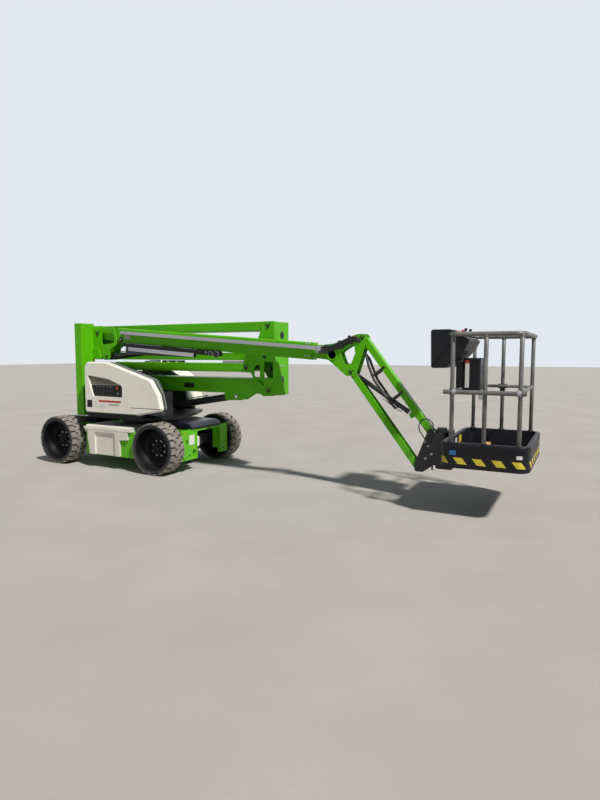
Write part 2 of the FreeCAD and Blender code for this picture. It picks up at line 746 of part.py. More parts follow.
def hood(side, depth, front_trim):
    """Moulded shell with rounded outer edges, open on the inner side and below."""
    outer_y = sorted((side * (HOOD_FACE - depth), side * HOOD_FACE))
    shell = chamfered(plate_y(hood_profile(0, front_trim), outer_y), 1, side * HOOD_FACE, HOOD_EDGE)
    inside = HOOD_FACE - HOOD_WALL
    inner_y = sorted((side * (HOOD_FACE - depth - 1), side * inside))
    hollow = plate_y(hood_profile(HOOD_WALL, front_trim), inner_y)
    hollow = chamfered(hollow, 1, side * inside, HOOD_EDGE - HOOD_WALL)
    if side < 0:
        pan_y = (-HOOD_FACE - 1, -HOOD_FACE + WINDOW_DEPTH + HOOD_WALL)
        window = rounded_face(HOOD_WINDOW, lambda a, b: V(a, pan_y[0], b))
        pan = window.makeOffset2D(HOOD_WALL).extrude(V(0, pan_y[1] - pan_y[0], 0))
        hollow = hollow.cut(pan)
    floor_cut = box((HOOD_BACK + HOOD_WALL, 560 - front_trim), inner_y, (HOOD_BOTTOM - 1, HOOD_BOTTOM + 40))
    shell = shell.cut(hollow).cut(floor_cut)
    if side < 0:
        shell = shell.cut(window.extrude(V(0, WINDOW_DEPTH + 1, 0)))
        crease = rectangle(HOOD_CREASE, (HOOD_BOTTOM + 90, HOOD_BOTTOM + 98), 2)
        shell = shell.cut(plate_y(crease, (-HOOD_FACE - 1, -HOOD_FACE + CREASE_DEPTH)))
    return shell


def hood_bulkheads():
    """Grey inner covers that the two hoods close against, with a seam groove."""
    panels = []
    for side, depth, trim, thickness in ((-1, HOOD_DEPTH, 0, INNER_COVER_DEPTH),
                                         (1, FAR_HOOD_DEPTH, 460, BULKHEAD_THICKNESS)):
        face = HOOD_FACE - depth - SEAT_GAP
        lip_y = sorted((side * (face - BULKHEAD_THICKNESS), side * face))
        panel = plate_y(hood_profile(0, trim), lip_y)
        if thickness > BULKHEAD_THICKNESS:
            back_y = sorted((side * (face - thickness), side * (face - BULKHEAD_THICKNESS + 1)))
            panel = panel.fuse(plate_y(inner_cover_profile(), back_y))
        foot_y = sorted((side * (face - thickness), side * (face - thickness + BULKHEAD_THICKNESS)))
        foot = box((HOOD_BACK + 30, 420 - trim / 2), foot_y, (BASE_TOP, HOOD_BOTTOM + 5))
        panels.append(panel.fuse(foot))
    return Part.makeCompound(panels)


def power_pack():
    """Pump and tank beside the riser, each a plain block."""
    back = -HOOD_FACE + HOOD_DEPTH + INNER_COVER_DEPTH + 2
    start = HOOD_BACK + 40
    inner = KNUCKLE_INSIDE + TOWER_THICKNESS + 26
    near = box((start, BASE_FRONT - 180), (back, -inner), (BASE_TOP, PUMP_TOP))
    near_top = box((start, BASE_FRONT - 660), (back, -inner), (PUMP_TOP - 1, TANK_TOP))
    far_y = (inner, HOOD_FACE - FAR_HOOD_DEPTH - BULKHEAD_THICKNESS - 2)
    far = box((start, BASE_FRONT - 600), far_y, (BASE_TOP, CHARGER_TOP))
    return Part.makeCompound([near.fuse(near_top), far])


def lower_boom():
    """Lower riser boom with its cylinder lug and a fork of outer plates at the knuckle."""
    arm = pivoted_arm(LOWER_BOOM_REAR, LOWER_BOOM_FRONT, LOWER_BOOM_DEPTH, BOOM_HALF_WIDTH, LOWER_BOOM_LIFT)
    _, pin, barrel = RISER_CYLINDER
    top = LOWER_BOOM_REAR[1] + LOWER_BOOM_LIFT - LOWER_BOOM_DEPTH / 2
    lug = [(pin[0] - 175, top + 2, 0), (pin[0] - 160, pin[1] - 62, 20), (pin[0] + 80, pin[1] - 54, 30),
           (pin[0] + 240, top + 2, 0)]
    for side in (-1, 1):
        inside = barrel + GLAND_LIP + RUNNING_GAP
        arm = arm.fuse(plate_y(lug, sorted((side * inside, side * (inside + LUG_THICKNESS)))))
    return arm


def lower_tie():
    """Levelling tie above the lower boom."""
    return pivoted_arm(LOWER_TIE_REAR, LOWER_TIE_FRONT, LOWER_TIE_DEPTH, TIE_HALF_WIDTH)


def riser_knuckle():
    """Upright at the front of the riser: two cheek plates and a pierced front plate."""
    cheek = [
        (KNUCKLE_X - 90, LOWER_BOOM_FRONT[1] - 70, 40),
        (KNUCKLE_FRONT, LOWER_BOOM_FRONT[1] - 60, 10),
        (KNUCKLE_FRONT, UPPER_BOOM_FRONT[1] + 55, 6),
        (KNUCKLE_X - 70, UPPER_BOOM_FRONT[1] + 55, 30),
        (KNUCKLE_X - 130, UPPER_BOOM_FRONT[1] - 120, 40),
        (LOWER_TIE_FRONT[0] - 20, LOWER_TIE_FRONT[1] + 130, 60),
        (LOWER_TIE_FRONT[0] - 60, LOWER_TIE_FRONT[1] - 55, 45),
        (LOWER_TIE_FRONT[0] + 60, LOWER_TIE_FRONT[1] - 55, 30),
    ]
    wing = [
        (KNUCKLE_FRONT - 60, LOWER_BOOM_FRONT[1] - 60, 0),
        (KNUCKLE_FRONT + 145, LOWER_BOOM_FRONT[1] - 43, 14),
        (KNUCKLE_FRONT + 52, LOWER_BOOM_FRONT[1] + 329, 12),
        (KNUCKLE_FRONT - 60, LOWER_BOOM_FRONT[1] + 400, 0),
    ]
    level = LOWER_BOOM_FRONT[1]
    windows = (
        [(KNUCKLE_X - 202, level + 160, 30), (KNUCKLE_X - 119, level + 160, 6),
         (KNUCKLE_X - 119, level + 302, 6), (KNUCKLE_X - 202, level + 302, 50)],
        rectangle((KNUCKLE_X - 62, KNUCKLE_FRONT - 20), (level + 152, level + 343), 12),
        [(KNUCKLE_X - 175, level + 135, 8), (KNUCKLE_X - 64, level + 54, 8), (KNUCKLE_X - 64, level + 130, 8)],
    )
    inside = KNUCKLE_INSIDE
    outside = inside + KNUCKLE_PLATE
    near = plate_y(cheek, (-outside, -inside)).fuse(plate_y(wing, (-outside, -inside)))
    for window in windows:
        near = near.cut(plate_y(window, (-outside - 1, -inside + 1)))
    body = near.fuse(plate_y(cheek, (inside, outside)))
    front_z = (LOWER_BOOM_FRONT[1] - 55, UPPER_BOOM_FRONT[1] + 50)
    front = box((KNUCKLE_FRONT - KNUCKLE_PLATE, KNUCKLE_FRONT), (-inside - 1, inside + 1), front_z)
    body = body.fuse(front)
    end = outside + 8
    for pivot in (LOWER_BOOM_FRONT, LOWER_TIE_FRONT, UPPER_BOOM_FRONT, UPPER_TIE_FRONT):
        body = body.fuse(rod_y(pivot, (-end, end), PIN_RADIUS))
    for level in (LOWER_BOOM_FRONT[1] + 125, UPPER_BOOM_FRONT[1] - 107):
        start = V(KNUCKLE_FRONT - KNUCKLE_PLATE - 1, 0, level)
        body = body.cut(rod(start, start + V(KNUCKLE_PLATE + 2, 0, 0), 34))
    return body


def upper_boom():
    """Upper riser boom, from the knuckle back to the mast."""
    return pivoted_arm(UPPER_BOOM_REAR, UPPER_BOOM_FRONT, UPPER_BOOM_DEPTH, BOOM_HALF_WIDTH)


def upper_tie():
    """Levelling tie below the upper boom."""
    return pivoted_arm(UPPER_TIE_REAR, UPPER_TIE_FRONT, UPPER_TIE_DEPTH, TIE_HALF_WIDTH)


def mast():
    """Post on the near side with the head that carries the main boom and joins the upper riser arms."""
    post = plate_z(rectangle((MAST_BACK, MAST_FRONT), (MAST_NEAR, MAST_FAR), 10), (MAST_BOTTOM, MAST_TOP))
    bore_x = (MAST_BACK + MAST_WALL, MAST_FRONT - MAST_WALL)
    bore_y = (MAST_NEAR + MAST_WALL, MAST_FAR - MAST_WALL)
    post = post.cut(box(bore_x, bore_y, (MAST_BOTTOM - 1, MAST_TOP - MAST_WALL - 2)))
    foot = BOOM_CYLINDER[0]
    head = [
        (MAST_FRONT - 60, HEAD_BOTTOM + 40, 10),
        (foot[0] - 90, HEAD_BOTTOM + 40, 10),
        (foot[0] - 60, HEAD_BOTTOM - 4, 20),
        (foot[0] + 50, HEAD_BOTTOM - 4, 40),
        (foot[0] + 45, HEAD_BOTTOM + 130, 30),
        (MAIN_PIVOT[0] + 330, MAIN_PIVOT[1] - 160, 30),
        (MAIN_PIVOT[0] + 345, MAIN_PIVOT[1] - 20, 80),
        (MAIN_PIVOT[0] + 290, MAIN_PIVOT[1] + 80, 50),
        (MAST_FRONT - 60, MAIN_PIVOT[1] + 80, 10),
    ]
    window = [
        (MAIN_PIVOT[0] + 68, MAIN_PIVOT[1] - 150, 24),
        (MAIN_PIVOT[0] + 290, MAIN_PIVOT[1] - 128, 24),
        (MAIN_PIVOT[0] + 300, MAIN_PIVOT[1] - 30, 40),
        (MAIN_PIVOT[0] + 260, MAIN_PIVOT[1] + 34, 30),
        (MAIN_PIVOT[0] + 68, MAIN_PIVOT[1] + 34, 24),
    ]
    near_gap = MAIN_WIDTH / 2 + RUNNING_GAP
    for side in (-1, 1):
        y = sorted((BOOM_Y + side * near_gap, BOOM_Y + side * (near_gap + HEAD_PLATE)))
        plate = plate_y(head, y)
        if side < 0:
            plate = plate.cut(plate_y(window, (y[0] - 1, y[1] + 1)))
        post = post.fuse(plate)
    gusset = [
        (MAST_FRONT - 20, HEAD_BOTTOM + 8, 0),
        (MAST_FRONT + 150, HEAD_BOTTOM + 8, 10),
        (MAST_FRONT + 110, HEAD_BOTTOM + 150, 10),
        (MAST_FRONT - 20, HEAD_BOTTOM + 150, 0),
    ]
    gusset_y = BOOM_Y - near_gap - HEAD_PLATE
    post = post.fuse(plate_y(gusset, (gusset_y - GUSSET_THICKNESS, gusset_y + 1)))
    end = near_gap + HEAD_PLATE + 8
    post = post.fuse(rod_y(MAIN_PIVOT, (BOOM_Y - end, BOOM_Y + end), PIN_RADIUS))
    post = post.fuse(rod_y(BOOM_CYLINDER[0], (BOOM_Y - end, BOOM_Y + end), 18))
    inside = KNUCKLE_INSIDE
    outside = inside + TOWER_THICKNESS
    ear = [
        (UPPER_TIE_REAR[0] - 60, HEAD_BOTTOM, 30),
        (UPPER_TIE_REAR[0] + 60, HEAD_BOTTOM, 30),
        (UPPER_BOOM_REAR[0] + 60, UPPER_BOOM_REAR[1] + 60, 40),
        (UPPER_BOOM_REAR[0] - 70, UPPER_BOOM_REAR[1] + 60, 40),
        (UPPER_TIE_REAR[0] - 60, UPPER_TIE_REAR[1] + 120, 40),
    ]
    for side in (-1, 1):
        post = post.fuse(plate_y(ear, sorted((side * inside, side * outside))))
    back_x = (UPPER_TIE_REAR[0] - 70, UPPER_TIE_REAR[0] - 56)
    post = post.fuse(box(back_x, (MAST_FAR - 1, outside), (HEAD_BOTTOM, HEAD_TOP)))
    bridge_x = (MAST_BACK + 2, MAST_FRONT - 2)
    post = post.fuse(box(bridge_x, (MAST_FAR - 1, -inside - 1), (HEAD_BOTTOM + 10, HEAD_TOP - 10)))
    reach = outside + 8
    for pivot in (UPPER_BOOM_REAR, UPPER_TIE_REAR):
        post = post.fuse(rod_y(pivot, (-outside + 2, reach), PIN_RADIUS))
    return post


def main_boom():
    """Outer box of the telescopic main boom, open at its front end, with a slim neck to its pivot."""
    start = NECK_LENGTH
    y = centred(BOOM_Y, MAIN_WIDTH)
    depth = (-MAIN_DEPTH / 2, MAIN_DEPTH / 2)
    tube = plate_x(rectangle(y, depth, 14), (start, MAIN_LENGTH))
    inside_y = centred(BOOM_Y, MAIN_WIDTH - 2 * MAIN_WALL)
    inside_z = (depth[0] + MAIN_WALL, depth[1] - MAIN_WALL)
    tube = tube.cut(box((start + MAIN_WALL, MAIN_LENGTH + 1), inside_y, inside_z))
    tube = tube.fuse(mouth_pads())
    neck = [(0, -60, 40), (start + 40, depth[0] + 4, 0), (start + 40, depth[1] - 4, 0), (0, 60, 40)]
    for side in (-1, 1):
        neck_y = sorted((BOOM_Y + side * (NECK_HALF_WIDTH - NECK_PLATE), BOOM_Y + side * NECK_HALF_WIDTH))
        tube = tube.fuse(plate_y(neck, neck_y))
    tube = tube.fuse(rod_y((0, 0), y, BOSS_RADIUS + 12))
    tube = tube.cut(rod_y((0, 0), (y[0] - 1, y[1] + 1), PIN_RADIUS + PIN_GAP))
    pin = BOOM_CYLINDER[1]
    reach = distance(MAIN_PIVOT, pin)
    drop = math.atan2(pin[1] - MAIN_PIVOT[1], pin[0] - MAIN_PIVOT[0]) - math.radians(MAIN_SLOPE)
    lug_x = reach * math.cos(drop)
    lug_z = reach * math.sin(drop)
    lug = [(lug_x - 90, depth[0] + 1, 0), (lug_x - 30, lug_z - 34, 24), (lug_x + 30, lug_z - 34, 24),
           (lug_x + 90, depth[0] + 1, 0)]
    for side in (-1, 1):
        lug_y = sorted((BOOM_Y + side * 31, BOOM_Y + side * 45))
        tube = tube.fuse(plate_y(lug, lug_y))
    return along(tube, MAIN_PIVOT, MAIN_TIP)


def on_boom(shape):
    """Place a shape drawn along the main boom's own axis."""
    return along(shape, MAIN_PIVOT, MAIN_TIP)


def boom_conduit():
    """Flat steel hose conduit beside the main boom, clamped to the jib head that draws it out."""
    face = BOOM_Y - MAIN_WIDTH / 2 - RUNNING_GAP
    end = MAIN_LENGTH + NOSE_LENGTH
    strip = box((CONDUIT_START, end - 30), (face - CONDUIT_DEPTH, face), CONDUIT_LEVELS)
    cheek = BOOM_Y - INNER_WIDTH / 2 - SEAT_GAP - JIB_PLATE - SEAT_GAP
    clamp_z = (CONDUIT_LEVELS[0] - 8, CONDUIT_LEVELS[1] + 8)
    clamp = box((end - 56, end - 14), (face - CONDUIT_DEPTH - 6, cheek), clamp_z)
    return on_boom(strip.fuse(clamp))


def hose_tray():
    """Tapered tray of the folding hose chain, hung under the main boom's near edge by three hangers."""
    start, end = HOSE_TRAY_ENDS
    face = BOOM_Y - MAIN_WIDTH / 2
    y = (face - 34, face + 14)
    profile = [(start, TRAY_TOP - TRAY_DEPTH_BACK, 16), (end, TRAY_TOP - TRAY_DEPTH_FRONT, 0),
               (end, TRAY_TOP, 0), (start, TRAY_TOP, 16)]
    tray = plate_y(profile, y)
    inside = [(start + 12, TRAY_TOP - TRAY_DEPTH_BACK + 6, 10), (end + 1, TRAY_TOP - TRAY_DEPTH_FRONT + 5, 0),
              (end + 1, TRAY_TOP + 1, 0), (start + 12, TRAY_TOP + 1, 0)]
    tray = tray.cut(plate_y(inside, (y[0] + 4, y[1] - 4)))
    for x in (start + 40, (start + end) / 2, end - 70):
        hanger = box((x, x + 30), (y[1] - 4, y[1]), (TRAY_TOP - TRAY_DEPTH_FRONT, -MAIN_DEPTH / 2 - SEAT_GAP))
        tray = tray.fuse(hanger)
    return on_boom(tray)


def inner_boom():
    """Sliding inner section with the nose that carries the jib head."""
    y = centred(BOOM_Y, INNER_WIDTH)
    z = (-INNER_DEPTH / 2, INNER_DEPTH / 2)
    start = MAIN_LENGTH - TELESCOPE_STROKE - INNER_OVERLAP
    end = MAIN_LENGTH + NOSE_LENGTH
    tube = plate_x(rectangle(y, z, 10), (start, end))
    inside_y = centred(BOOM_Y, INNER_WIDTH - 2 * INNER_WALL)
    tube = tube.cut(box((start - 1, end - INNER_WALL), inside_y, (z[0] + INNER_WALL, z[1] - INNER_WALL)))
    tube = tube.fuse(rear_pads(start))
    return on_boom(tube)


def jib_head():
    """Open curved head plates between the inner boom and the two jib arms."""
    nose = polar(MAIN_PIVOT, MAIN_LENGTH + NOSE_LENGTH, MAIN_SLOPE)
    low = JIB_LOWER_PIVOT
    high = JIB_PIVOT
    plate = [
        (nose[0] - 60, nose[1] - 70, 20),
        (nose[0] + 60, nose[1] - 84, 60),
        (low[0] - 60, low[1] - 34, 34),
        (low[0] + 44, low[1] - 38, 34),
        (high[0] + 42, high[1] - 40, 60),
        (high[0] + 34, high[1] + 48, 40),
        (high[0] - 70, high[1] + 40, 70),
        (nose[0] + 130, nose[1] + 92, 110),
        (nose[0] - 60, nose[1] + 70, 20),
    ]
    window = [
        (nose[0] + 200, nose[1] - 4, 24),
        (high[0] - 96, high[1] - 54, 30),
        (high[0] - 82, high[1] - 160, 20),
        (low[0] - 8, low[1] + 84, 24),
        (low[0] - 84, low[1] + 96, 30),
    ]
    eye = (nose[0] + 106, nose[1] - 30)
    inside = INNER_WIDTH / 2 + SEAT_GAP
    outside = inside + JIB_PLATE
    head = None
    for side in (-1, 1):
        y = sorted((BOOM_Y + side * inside, BOOM_Y + side * outside))
        through = (y[0] - 1, y[1] + 1)
        cheek = plate_y(plate, y).cut(plate_y(window, through)).cut(rod_y(eye, through, HEAD_EYE_RADIUS))
        head = cheek if head is None else head.fuse(cheek)
    y = (BOOM_Y - outside - 6, BOOM_Y + outside + 6)
    for pivot in (high, low):
        head = head.fuse(rod_y(pivot, y, JIB_PIN_RADIUS))
    block_x = (MAIN_LENGTH + NOSE_LENGTH + SEAT_GAP, MAIN_LENGTH + NOSE_LENGTH + 20)
    block = plate_x(rectangle(centred(BOOM_Y, 2 * inside + 2), (-70, 70), 4), block_x)
    return head.fuse(on_boom(block))


def jib_arm(start, end, opening):
    """Channel arm; opening is +1 where its open side is the upper one, -1 the lower."""
    length = distance(start, end)
    y = centred(BOOM_Y, JIB_ARM_WIDTH)
    inside_y = centred(BOOM_Y, JIB_ARM_WIDTH - 2 * JIB_WALL)
    half = JIB_ARM_DEPTH / 2
    arm = plate_x(rectangle(y, (-half, half), 4), (24, length - 24))
    for x in (0, length):
        arm = arm.fuse(rod_y((x, 0), y, JIB_BOSS_RADIUS))
    inside_z = sorted((opening * (JIB_WALL - half), opening * (half + 1)))
    arm = arm.cut(box((-JIB_BOSS_RADIUS - 1, length - 80), inside_y, inside_z))
    for x in (0, length):
        arm = arm.cut(rod_y((x, 0), (y[0] - 1, y[1] + 1), JIB_PIN_RADIUS + PIN_GAP))
    return along(arm, start, end)


def jib_upper_arm():
    """Upper jib arm with the lugs for the jib cylinder's rod."""
    arm = jib_arm(JIB_PIVOT, JIB_END, -1)
    lug = [
        polar(JIB_ROD_PIN, 34, JIB_ANGLE - 90 - 40),
        polar(JIB_ROD_PIN, 34, JIB_ANGLE - 90 + 40),
        polar(JIB_ROD_PIN, 80, JIB_ANGLE + 60),
        polar(JIB_ROD_PIN, 80, JIB_ANGLE + 120),
    ]
    lug = [(x, z, 12) for x, z in lug]
    for side in (-1, 1):
        y = sorted((BOOM_Y + side * 26, BOOM_Y + side * (JIB_ARM_WIDTH / 2 - 1)))
        arm = arm.fuse(plate_y(lug, y))
    return arm


def jib_lower_arm():
    """Lower jib arm, a channel that the cylinder nests in."""
    return jib_arm(JIB_LOWER_PIVOT, JIB_LOWER_END, 1)


def cage_bracket():
    """Bracket at the end of the jib with the housing of the cage rotator."""
    inside = JIB_ARM_WIDTH / 2 + RUNNING_GAP
    outside = inside + JIB_PLATE
    plate = [
        (JIB_LOWER_END[0] - 36, JIB_LOWER_END[1] - 30, 24),
        (JIB_LOWER_END[0] + 50, JIB_LOWER_END[1] - 30, 24),
        (ROTATE_AXIS_X - ROTATOR_RADIUS - 10, JIB_LOWER_END[1] + 48, 20),
        (ROTATE_AXIS_X - 20, JIB_LOWER_END[1] + 50, 4),
        (ROTATE_AXIS_X - 20, JIB_END[1] + 12, 4),
        (ROTATE_AXIS_X - ROTATOR_RADIUS - 10, JIB_END[1] + 14, 4),
        (JIB_END[0] + 14, JIB_END[1] + 46, 20),
        (JIB_END[0] - 20, JIB_END[1] + 46, 24),
        (JIB_END[0] - 46, JIB_END[1] - 10, 24),
        (JIB_LOWER_END[0] - 36, JIB_LOWER_END[1] + 50, 24),
    ]
    bracket = None
    for side in (-1, 1):
        y = sorted((BOOM_Y + side * inside, BOOM_Y + side * outside))
        cheek = plate_y(plate, y)
        bracket = cheek if bracket is None else bracket.fuse(cheek)
    y = (BOOM_Y - outside - 6, BOOM_Y + outside + 6)
    for pivot in (JIB_END, JIB_LOWER_END):
        bracket = bracket.fuse(rod_y(pivot, y, JIB_PIN_RADIUS))
    housing_z = (JIB_LOWER_END[1] + 40, JIB_END[1] + 20)
    housing = rod_z(ROTATE_AXIS_X, BOOM_Y, housing_z, ROTATOR_RADIUS)
    return bracket.fuse(housing).fuse(loop_glands())


def cage_carrier():
    """Yoke that turns on the rotator and carries the cage."""
    low = JIB_LOWER_END[1] + 16
    high = JIB_END[1] + 20 + SEAT_GAP
    yoke = rod_z(ROTATE_AXIS_X, BOOM_Y, (high, high + 22), ROTATOR_RADIUS)
    yoke = yoke.fuse(rod_z(ROTATE_AXIS_X, BOOM_Y, (low, low + 24 - SEAT_GAP), ROTATOR_RADIUS))
    face = CAGE_BACK - SEAT_GAP
    post_x = (ROTATE_AXIS_X + 72, face)
    yoke = yoke.fuse(box(post_x, centred(BOOM_Y, 110), (low, high + 22)))
    for z in ((high, high + 22), (low, low + 24 - SEAT_GAP)):
        yoke = yoke.fuse(box((ROTATE_AXIS_X, post_x[1] - 1), centred(BOOM_Y, 110), z))
    return yoke


def hose_path(points):
    """Straight runs joined by the largest tangent arcs that nine tenths of the runs leave room for."""
    edges = []
    radii = []
    start = points[0]
    for before, corner, after in zip(points, points[1:], points[2:]):
        inward = before - corner
        outward = after - corner
        reach = 0.45 * min(inward.Length, outward.Length)
        inward.normalize()
        outward.normalize()
        half = inward.getAngle(outward) / 2
        radius = reach * math.tan(half)
        middle = inward + outward
        middle.normalize()
        crown = corner + middle * (radius / math.sin(half) - radius)
        entry = corner + inward * reach
        leave = corner + outward * reach
        edges.append(Part.LineSegment(start, entry).toShape())
        edges.append(Part.Arc(entry, crown, leave).toShape())
        radii.append(round(radius))
        start = leave
    edges.append(Part.LineSegment(start, points[-1]).toShape())
    return Part.Wire(edges), radii


def hose(name, points, radius):
    """Round hose through x, y, z points."""
    points = [V(*place) for place in points]
    path, radii = hose_path(points)
    section = Part.Wire(Part.Circle(points[0], points[1] - points[0], radius).toShape())
    tube = path.makePipeShell([section], True, False)
    share = tube.Volume / (math.pi * radius * radius * path.Length)
    print(name, "length", round(path.Length), "bend radii", radii)
    print(name, "volume over section times length", round(share, 4))
    return tube


def head_hoses():
    """Two hoses from the boom's nose over the jib head, lying on a saddle bar between its cheeks."""
    inside = INNER_WIDTH / 2
    bundle = rod_y(add(JIB_PIVOT, SADDLE_PLACE), centred(BOOM_Y, 2 * inside), SADDLE_RADIUS)
    for side in (-1, 1):
        y = BOOM_Y + side * HEAD_HOSE_Y
        places = []
        for x in HEAD_HOSE_START:
            place = polar(MAIN_PIVOT, MAIN_LENGTH + NOSE_LENGTH + x, MAIN_SLOPE)
            places.append(polar(place, HEAD_HOSE_HEIGHT, MAIN_SLOPE + 90))
        places += [add(JIB_PIVOT, offset) for offset in HEAD_HOSE_ROUTE]
        bundle = bundle.fuse(hose("head hose", [(x, y, z) for x, z in places], HOSE_RADIUS))
    return bundle


def jib_hoses():
    """Two hoses beside the jib cylinder, each held by two clip plates on a face of the upper arm."""
    points = []
    for reach, drop, y in JIB_HOSE_ROUTE:
        x, z = polar(polar(JIB_PIVOT, reach, JIB_ANGLE), drop, JIB_ANGLE - 90)
        points.append((x, BOOM_Y + y, z))
    face = BOOM_Y + JIB_ARM_WIDTH / 2 + SEAT_GAP
    bundle = hose("jib hose", points, HOSE_RADIUS)
    for reach in JIB_CLIPS:
        clip = box(centred(reach, JIB_CLIP_WIDTH), (face, face + JIB_CLIP_THICKNESS), (-JIB_CLIP_DROP, 8))
        bundle = bundle.fuse(along(clip, JIB_PIVOT, JIB_END))
    return Part.makeCompound([bundle, bundle.mirror(V(0, BOOM_Y, 0), Y_AXIS)])


def loop_points():
    """Route of the free hose loop as x, y, z points."""
    return [(JIB_END[0] + x, BOOM_Y + LOOP_Y, JIB_END[1] + z) for x, z in LOOP_ROUTE]


def loop_glands():
    """Fittings on the near cheek of the cage bracket that hold the two ends of the free loop."""
    points = [V(*place) for place in loop_points()]
    cheek = BOOM_Y - JIB_ARM_WIDTH / 2 - RUNNING_GAP - 1
    glands = None
    for end, inner in ((points[0], points[1]), (points[-1], points[-2])):
        back = end - inner
        back.normalize()
        start = end + back * SEAT_GAP
        middle = end + back * (GLAND_REACH / 2)
        gland = rod(start, end + back * GLAND_REACH, GLAND_RADIUS)
        gland = gland.fuse(box(centred(middle.x, 14), (middle.y, cheek), centred(middle.z, 14)))
        glands = gland if glands is None else glands.fuse(gland)
    return glands


def cage_hose():
    """Free loop of hose at the cage bracket, both ends held by its glands."""
    return hose("cage hose loop", loop_points(), LOOP_RADIUS)


def tray_outline(inset):
    """Rounded plan of the cage tray, drawn in by inset."""
    x = (CAGE_BACK + inset, CAGE_FRONT - inset)
    y = centred(CAGE_Y, CAGE_WIDTH - 2 * inset)
    return rectangle(x, y, TRAY_CORNER - inset)


def cage_tray():
    """Moulded floor tray with a thick wall, rounded at its rim and foot."""
    tray = plate_z(tray_outline(0), (TRAY_BOTTOM, TRAY_RIM))
    tray = chamfered(tray, 2, TRAY_RIM, TRAY_RIM_EDGE)
    tray = chamfered(tray, 2, TRAY_BOTTOM, TRAY_FOOT_EDGE)
    return tray.cut(plate_z(tray_outline(TRAY_WALL), (TRAY_BOTTOM + TRAY_FLOOR, TRAY_RIM + 1)))


def cage_posts():
    """Plan places of the six posts, the corner ones drawn in to the middle of the top rail's bend."""
    shift = RAIL_BEND * (1 - math.cos(math.pi / 4))
    x = (CAGE_BACK + RAIL_INSET + 30, (CAGE_BACK + CAGE_FRONT) / 2, CAGE_FRONT - RAIL_INSET - 30)
    near = CAGE_Y - CAGE_WIDTH / 2 + 23
    far = CAGE_Y + CAGE_WIDTH / 2 - 23
    places = []
    for y, side in ((near, 1), (far, -1)):
        places.append((x[0] + shift, y + side * shift))
        places.append((x[1], y))
        places.append((x[2] - shift, y + side * shift))
    return places


def cage_rails():
    """Tubular guard rail: six posts, a top rail and a mid rail on three sides."""
    places = cage_posts()
    rails = top_rail()
    for x, y in places:
        rails = rails.fuse(rod_z(x, y, (TRAY_RIM + SEAT_GAP, TOP_RAIL), RAIL_TUBE_RADIUS - 1))
    corner = {"back_near": places[0], "front_near": places[2], "back_far": places[3], "front_far": places[5]}
    for one, other in (("front_near", "front_far"), ("front_far", "back_far"), ("back_far", "back_near")):
        start = V(*corner[one], MID_RAIL)
        end = V(*corner[other], MID_RAIL)
        rails = rails.fuse(rod(start, end, MID_RAIL_RADIUS))
    return rails


def cage_gate():
    """Entry bar on the near side that slides up its posts on a half collar at each end."""
    places = cage_posts()
    y = places[1][1] - 2 * RAIL_TUBE_RADIUS + 1 - SEAT_GAP
    start = V(places[0][0] - 60, y, MID_RAIL)
    end = V(places[2][0] + 50, y, MID_RAIL)
    gate = rod(start, end, RAIL_TUBE_RADIUS)
    for x, post_y in (places[0], places[2]):
        z = centred(MID_RAIL, COLLAR_HEIGHT)
        collar = rod_z(x, post_y, z, COLLAR_RADIUS)
        collar = collar.cut(box((x - 50, x + 50), (post_y - 2, post_y + 50), (z[0] - 1, z[1] + 1)))
        collar = collar.fuse(box((x - 14, x + 14), (y, post_y - COLLAR_RADIUS + 4), centred(MID_RAIL, 30)))
        gate = gate.fuse(collar)
    for x, post_y in (places[0], places[2]):
        z = centred(MID_RAIL, COLLAR_HEIGHT + 2)
        gate = gate.cut(rod_z(x, post_y, z, RAIL_TUBE_RADIUS - 1 + PIN_GAP))
    return gate


def console():
    """Control console that straddles the back rail, with a sloping panel towards the operator."""
    top = TOP_RAIL + 56
    profile = [
        (CAGE_BACK - 168, top, 24),
        (CAGE_BACK + 14, top, 24),
        (CAGE_BACK + 192, top - 103, 16),
        (CAGE_BACK + 140, top - 200, 20),
        (CAGE_BACK - 15, top - 360, 24),
        (CAGE_BACK - 160, top - 362, 24),
    ]
    body = plate_y(profile, centred(CAGE_Y, CONSOLE_WIDTH))
    rail_x = CAGE_BACK + RAIL_INSET + 30
    bore = rod_y((rail_x, TOP_RAIL), centred(CAGE_Y, CONSOLE_WIDTH + 2), RAIL_TUBE_RADIUS + SEAT_GAP)
    return body.cut(bore)


def tool_box():
    """Tall box hung inside the back rail, under the console."""
    rail_x = cage_posts()[0][0]
    x = (rail_x + MID_RAIL_RADIUS + SEAT_GAP, CAGE_BACK + 270)
    return plate_z(rectangle(x, centred(CAGE_Y, 330), 20), (MID_RAIL - 10, TOP_RAIL - 215))


def foot_switch():
    """Foot switch on the tray floor: a treadle plate with a toe box and a side bar."""
    floor = TRAY_BOTTOM + TRAY_FLOOR + SEAT_GAP
    back = CAGE_BACK + 170
    y = centred(CAGE_Y - 100, 200)
    body = box((back, back + 190), y, (floor, floor + 20))
    toe_box = box((back + 110, back + 190), y, (floor, floor + 130))
    toe_room = box((back + 100, back + 182), (y[0] + 8, y[1] - 8), (floor + 20, floor + 122))
    bar = box((back, back + 120), (y[0], y[0] + 10), (floor + 95, floor + 107))
    bar = bar.fuse(box((back, back + 10), (y[0], y[0] + 10), (floor, floor + 107)))
    return body.fuse(toe_box.cut(toe_room)).fuse(bar)


